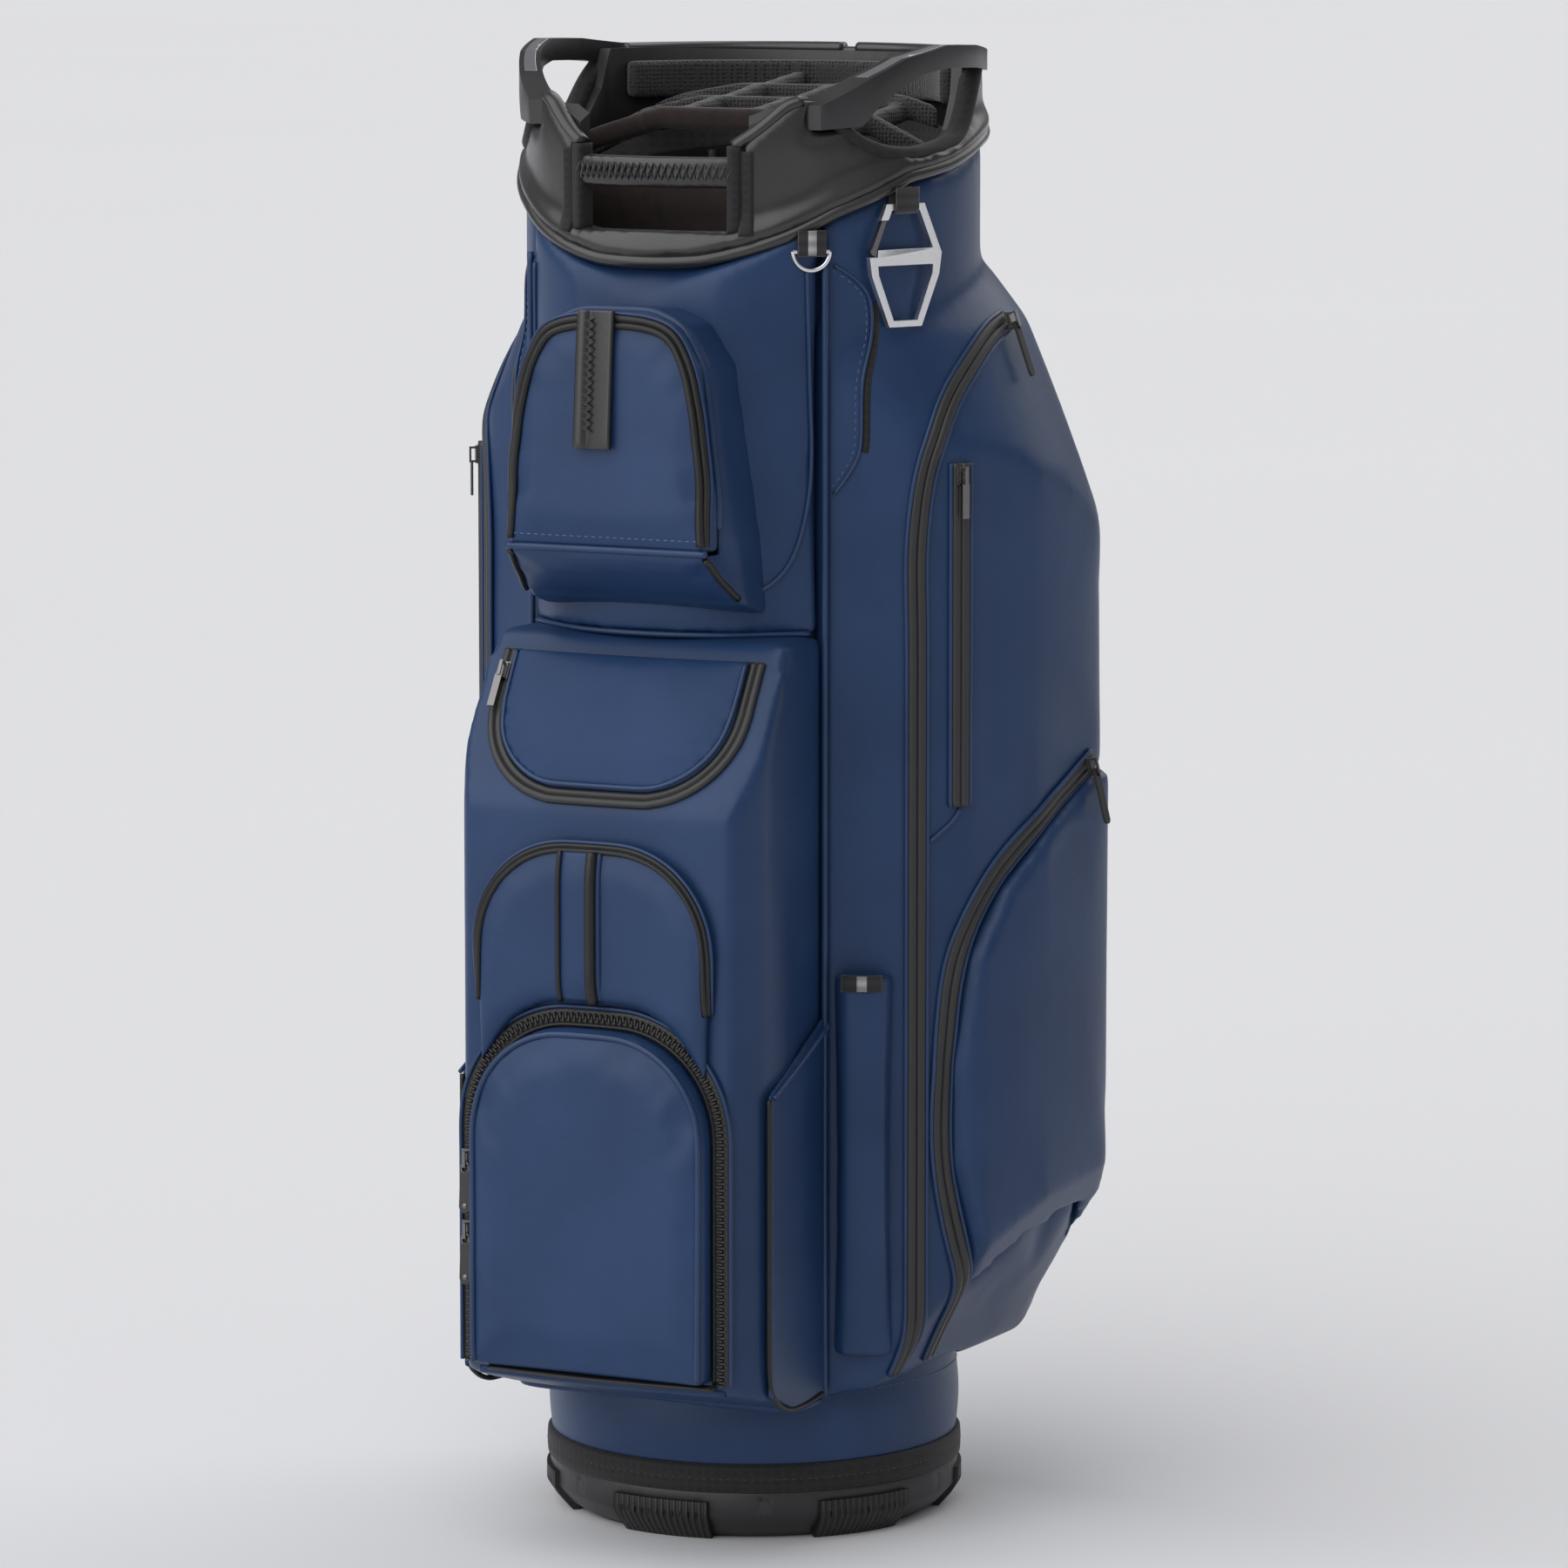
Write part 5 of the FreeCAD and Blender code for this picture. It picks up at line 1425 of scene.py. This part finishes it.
def build_grip_trim():
    path = circle(0.16, 0.8602, 120, -22.5, 22.5)
    skin = Skin(GRIP)
    found, outward = [], []
    for p in path:
        hits, normal = skin.cast([p], Vector((-p.x, -p.y, 0)), 0.05)
        found += hits
        outward += normal
    outward = eased(outward, 8, unit=True)
    trim(cross_stitches("grip_stitching", found, outward, "black_thread", 0.0050, 0.0110, 0.0008), "bag")
    skin = Skin(CUFF)
    first = True
    for label, bearing in (("right", 25.4), ("left", -25.4)):
        a = math.radians(bearing)
        away = Vector((math.sin(a), -math.cos(a), 0))
        rough = [away * 0.16 + Vector((0, 0, 0.8215 + 0.0515 * k / 24)) for k in range(25)]
        found, outward = skin.cast(rough, -away, 0.05)
        path, outward = eased(found, 3), eased(outward, 8, unit=True)
        rib = sweep(f"window_binding_{label}", path, outward,
                    [(-0.0048, -0.002), (-0.0048, 0.0006), (-0.0036, 0.0018), (0, 0.0023), (0.0036, 0.0018),
                     (0.0048, 0.0006), (0.0048, -0.002)], "binding")
        trim(rib, "bag", ["handle_wraps"] if first else ())
        first = False
    for label, line in (("front", [(-128.6, 878), (-124, 885), (-119, 893), (-112.5, 903), (-107, 905.5)]),
                        ("rear", [(60, 929), (90, 929), (115, 929), (131, 929), (137.6, 929), (138.8, 929)])):
        rough = spaced([Vector((math.sqrt(0.1389 ** 2 - (y * MM) ** 2), y * MM, z * MM - 0.0020)) for y, z in line],
                       0.003)
        rib = sweep(f"rim_{label}_right", eased(rough, 3), [Vector((0, 0, 1))] * len(rough),
                    oval(0.0056, 0.0040), "black")
        both_sides(rib, f"rim_{label}")
    verge = []
    for k in range(181):
        x, y = 0.1452 * math.sin(math.radians(2 * k)), -0.1452 * math.cos(math.radians(2 * k))
        verge.append(Vector((x, y, float(np.interp(y, [p[0] * MM for p in SEAM], [p[1] * MM for p in SEAM])) + 0.0032)))
    verge = verge[:-1]
    trim(sweep("cuff_hem", verge, radial(verge), round_profile(0.0040, 1.0, 12), "black", closed=True), "bag")
    a = math.radians(22.4)
    away = Vector((math.sin(a), -math.cos(a), 0))
    rough = [away * 0.1389 + Vector((0, 0, 0.8235 + 0.0525 * k / 24)) for k in range(25)]
    wrap = [(0.0045 * abs(math.cos(t)) ** 0.6 * (1 if math.cos(t) > 0 else -1),
             0.0062 * abs(math.sin(t)) ** 0.6 * (1 if math.sin(t) > 0 else -1))
            for t in [math.pi * (k + 0.5) / 10 for k in range(20)]]
    both_sides(sweep("window_wrap_right", rough, [away] * 25, wrap, "binding"), "window_wrap")
    dip = [(44, 923), (30, 909), (20, 896), (8, 883), (-6, 876.5), (-40, 871), (-66, 873), (-84, 882), (-95, 896)]
    rough = spaced([Vector((math.sqrt(0.1389 ** 2 - (y * MM) ** 2), y * MM, z * MM - 0.001)) for y, z in dip], 0.003)
    rib = sweep("dip_binding_right", eased(rough, 3), [Vector((0, 0, 1))] * len(rough), oval(0.0070, 0.0046), "binding")
    both_sides(rib, "dip_binding")


def build_pulls():
    """The ball pocket's leather pulls: a strap with a rounded end, an eye and a rivet."""
    for label in ("upper", "lower"):
        lo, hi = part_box(f"ball_pull_{label}")
        x, y, half = (lo.x + hi.x) / 2, (lo.y + hi.y) / 2, 0.0042
        start, stop = hi.z - 0.0062, lo.z + 0.0004
        outline = [(-half * 0.8, start), (half * 0.8, start)]
        outline += [(half * math.cos(t), stop + half + half * math.sin(t))
                    for t in (0, -0.4, -0.8, -1.2, -1.57, -1.94, -2.34, -2.74, -math.pi)]
        bm = bmesh.new()
        front = [bm.verts.new((x + u, y - 0.0011, z)) for u, z in outline]
        back = [bm.verts.new((x + u, y + 0.0009, z)) for u, z in outline]
        bm.faces.new(front)
        bm.faces.new(back[::-1])
        for k in range(len(outline)):
            n = (k + 1) % len(outline)
            bm.faces.new((front[n], front[k], back[k], back[n]))
        bmesh.ops.recalc_face_normals(bm, faces=bm.faces)
        strap = from_bmesh(f"ball_strap_{label}", bm, "black")
        mod = strap.modifiers.new("edges", "BEVEL")
        mod.width, mod.segments = 0.0005, 3
        mod.limit_method = "ANGLE"
        bake(strap)
        trim(strap, f"ball_pull_{label}", [f"ball_pull_{label}"])
        eye = [Vector((x + 0.0026 * math.sin(t), y, hi.z - 0.0040 + 0.0036 * math.cos(t)))
               for t in [2 * math.pi * k / 28 for k in range(28)]]
        ring = sweep(f"ball_eye_{label}", eye, [Vector((0, -1, 0))] * 28,
                     oval(0.0008, 0.0008, 8), "nickel", closed=True)
        trim(ring, f"ball_pull_{label}")
        bm = bmesh.new()
        bmesh.ops.create_uvsphere(bm, u_segments=20, v_segments=10, radius=0.0019,
                                  matrix=Matrix.Translation((x, y - 0.0010, stop + 0.0046))
                                  @ Matrix.Diagonal((1, 0.45, 1, 1)))
        stud = from_bmesh(f"ball_rivet_{label}", bm, "nickel")
        stud.data.shade_smooth()
        trim(stud, f"ball_pull_{label}")


def build_sheets():
    """The velour sheets between the club slots, each with a little slack."""
    bm = bmesh.new()
    bm.from_mesh(NODES["slot_sheets"].data)
    bmesh.ops.remove_doubles(bm, verts=bm.verts, dist=1e-5)
    boxes = []
    for part in loose_parts(bm):
        co = np.array([v.co for v in part])
        boxes.append((co.min(0), co.max(0)))
    bm.free()
    verts, faces = [], []
    for index, (lo, hi) in enumerate(sorted(boxes, key=lambda b: tuple(b[0]))):
        along = 0 if hi[0] - lo[0] > hi[1] - lo[1] else 1
        other = 1 - along
        nu, nv = 12, 40
        half = (hi[other] - lo[other]) / 2
        mid = (hi[other] + lo[other]) / 2
        base = len(verts)
        for side in (1, -1):
            for j in range(nv + 1):
                for i in range(nu + 1):
                    u, v = i / nu, j / nv
                    slack = 0.0011 * math.sin(math.pi * u) * math.sin(v * 19 + index * 2.1)
                    p = [0.0, 0.0, lo[2] + (hi[2] - lo[2]) * v]
                    p[along] = lo[along] + (hi[along] - lo[along]) * u
                    p[other] = mid + slack + side * half * 0.9
                    verts.append(tuple(p))
        size, width = (nu + 1) * (nv + 1), nu + 1
        for j in range(nv):
            for i in range(nu):
                a = base + j * width + i
                faces.append((a, a + 1, a + width + 1, a + width))
                faces.append((a + size, a + size + width, a + size + width + 1, a + size + 1))
        rim = list(range(width)) + [j * width + nu for j in range(1, nv + 1)]
        rim += [nv * width + i for i in range(nu - 1, -1, -1)] + [j * width for j in range(nv - 1, 0, -1)]
        for a, b in zip(rim, rim[1:] + rim[:1]):
            faces.append((base + b, base + a, base + size + a, base + size + b))
    trim(from_rows("velour_sheets", verts, faces, "velour"), "bag", ["slot_sheets"])


def velour_front():
    """The front bar of the club mouth is covered in the same velour as the well behind the handle."""
    bars = bpy.data.objects["bar_pads"]
    bars.data.materials.append(MATS["velour"])
    for poly in bars.data.polygons:
        if poly.center.y < -0.0425:
            poly.material_index = 1


build_side_zips()
build_side_seams()
build_piping()
build_ball_zip()
build_quick_zip()
build_arch_trim()
build_finder_trim()
build_tab()
build_skirt()
build_cover()
build_back()
build_sleeves()
build_slips()
build_webbing()
build_grip_trim()
build_pulls()
build_sheets()
velour_front()


# ---- stage, light and camera --------------------------------------------------------------------------------
def distant_light(name, source, strength, spread):
    """A broad soft source far off in the given direction, so the floor is lit evenly."""
    light = bpy.data.lights.new(name, "SUN")
    light.energy = strength
    light.angle = math.radians(spread)
    obj = bpy.data.objects.new(name, light)
    bpy.context.collection.objects.link(obj)
    obj.location = Vector(source) * 4
    obj.rotation_mode = "QUATERNION"
    obj.rotation_quaternion = (-Vector(source)).to_track_quat("-Z", "Y")
    return obj


def build_stage():
    floor = bpy.data.meshes.new("floor")
    floor.from_pydata([(-90, -90, 0), (90, -90, 0), (90, 90, 0), (-90, 90, 0)], [], [(0, 1, 2, 3)])
    obj = bpy.data.objects.new("floor", floor)
    bpy.context.collection.objects.link(obj)
    floor.materials.append(floor_material())
    world = bpy.data.worlds.new("studio")
    world.use_nodes = True
    sky = world.node_tree.nodes["Background"]
    sky.inputs["Color"].default_value = (0.86, 0.87, 0.90, 1)
    sky.inputs["Strength"].default_value = 0.22
    bpy.context.scene.world = world
    bpy.context.scene.view_settings.view_transform = "Standard"
    distant_light("key", (-0.42, -0.80, 0.85), 2.85, 92)
    distant_light("side", (0.95, -0.50, 0.62), 0.12, 40)
    distant_light("back", (0.2, 0.95, 0.80), 0.95, 60)


def build_camera():
    """The bag seen 27 degrees round from the front, from chest height and well back."""
    azimuth, distance, height, pitch = math.radians(27), 4.85, 1.10, math.radians(7.47)
    data = bpy.data.cameras.new("view")
    data.sensor_width = 36.0
    data.lens = 176.2
    obj = bpy.data.objects.new("view", data)
    bpy.context.collection.objects.link(obj)
    right = Vector((math.cos(azimuth), math.sin(azimuth), 0))
    obj.location = Vector((distance * math.sin(azimuth), -distance * math.cos(azimuth), height)) + right * 0.01927
    obj.rotation_euler = (math.pi / 2 - pitch, 0, azimuth)
    bpy.context.scene.camera = obj


build_stage()
build_camera()
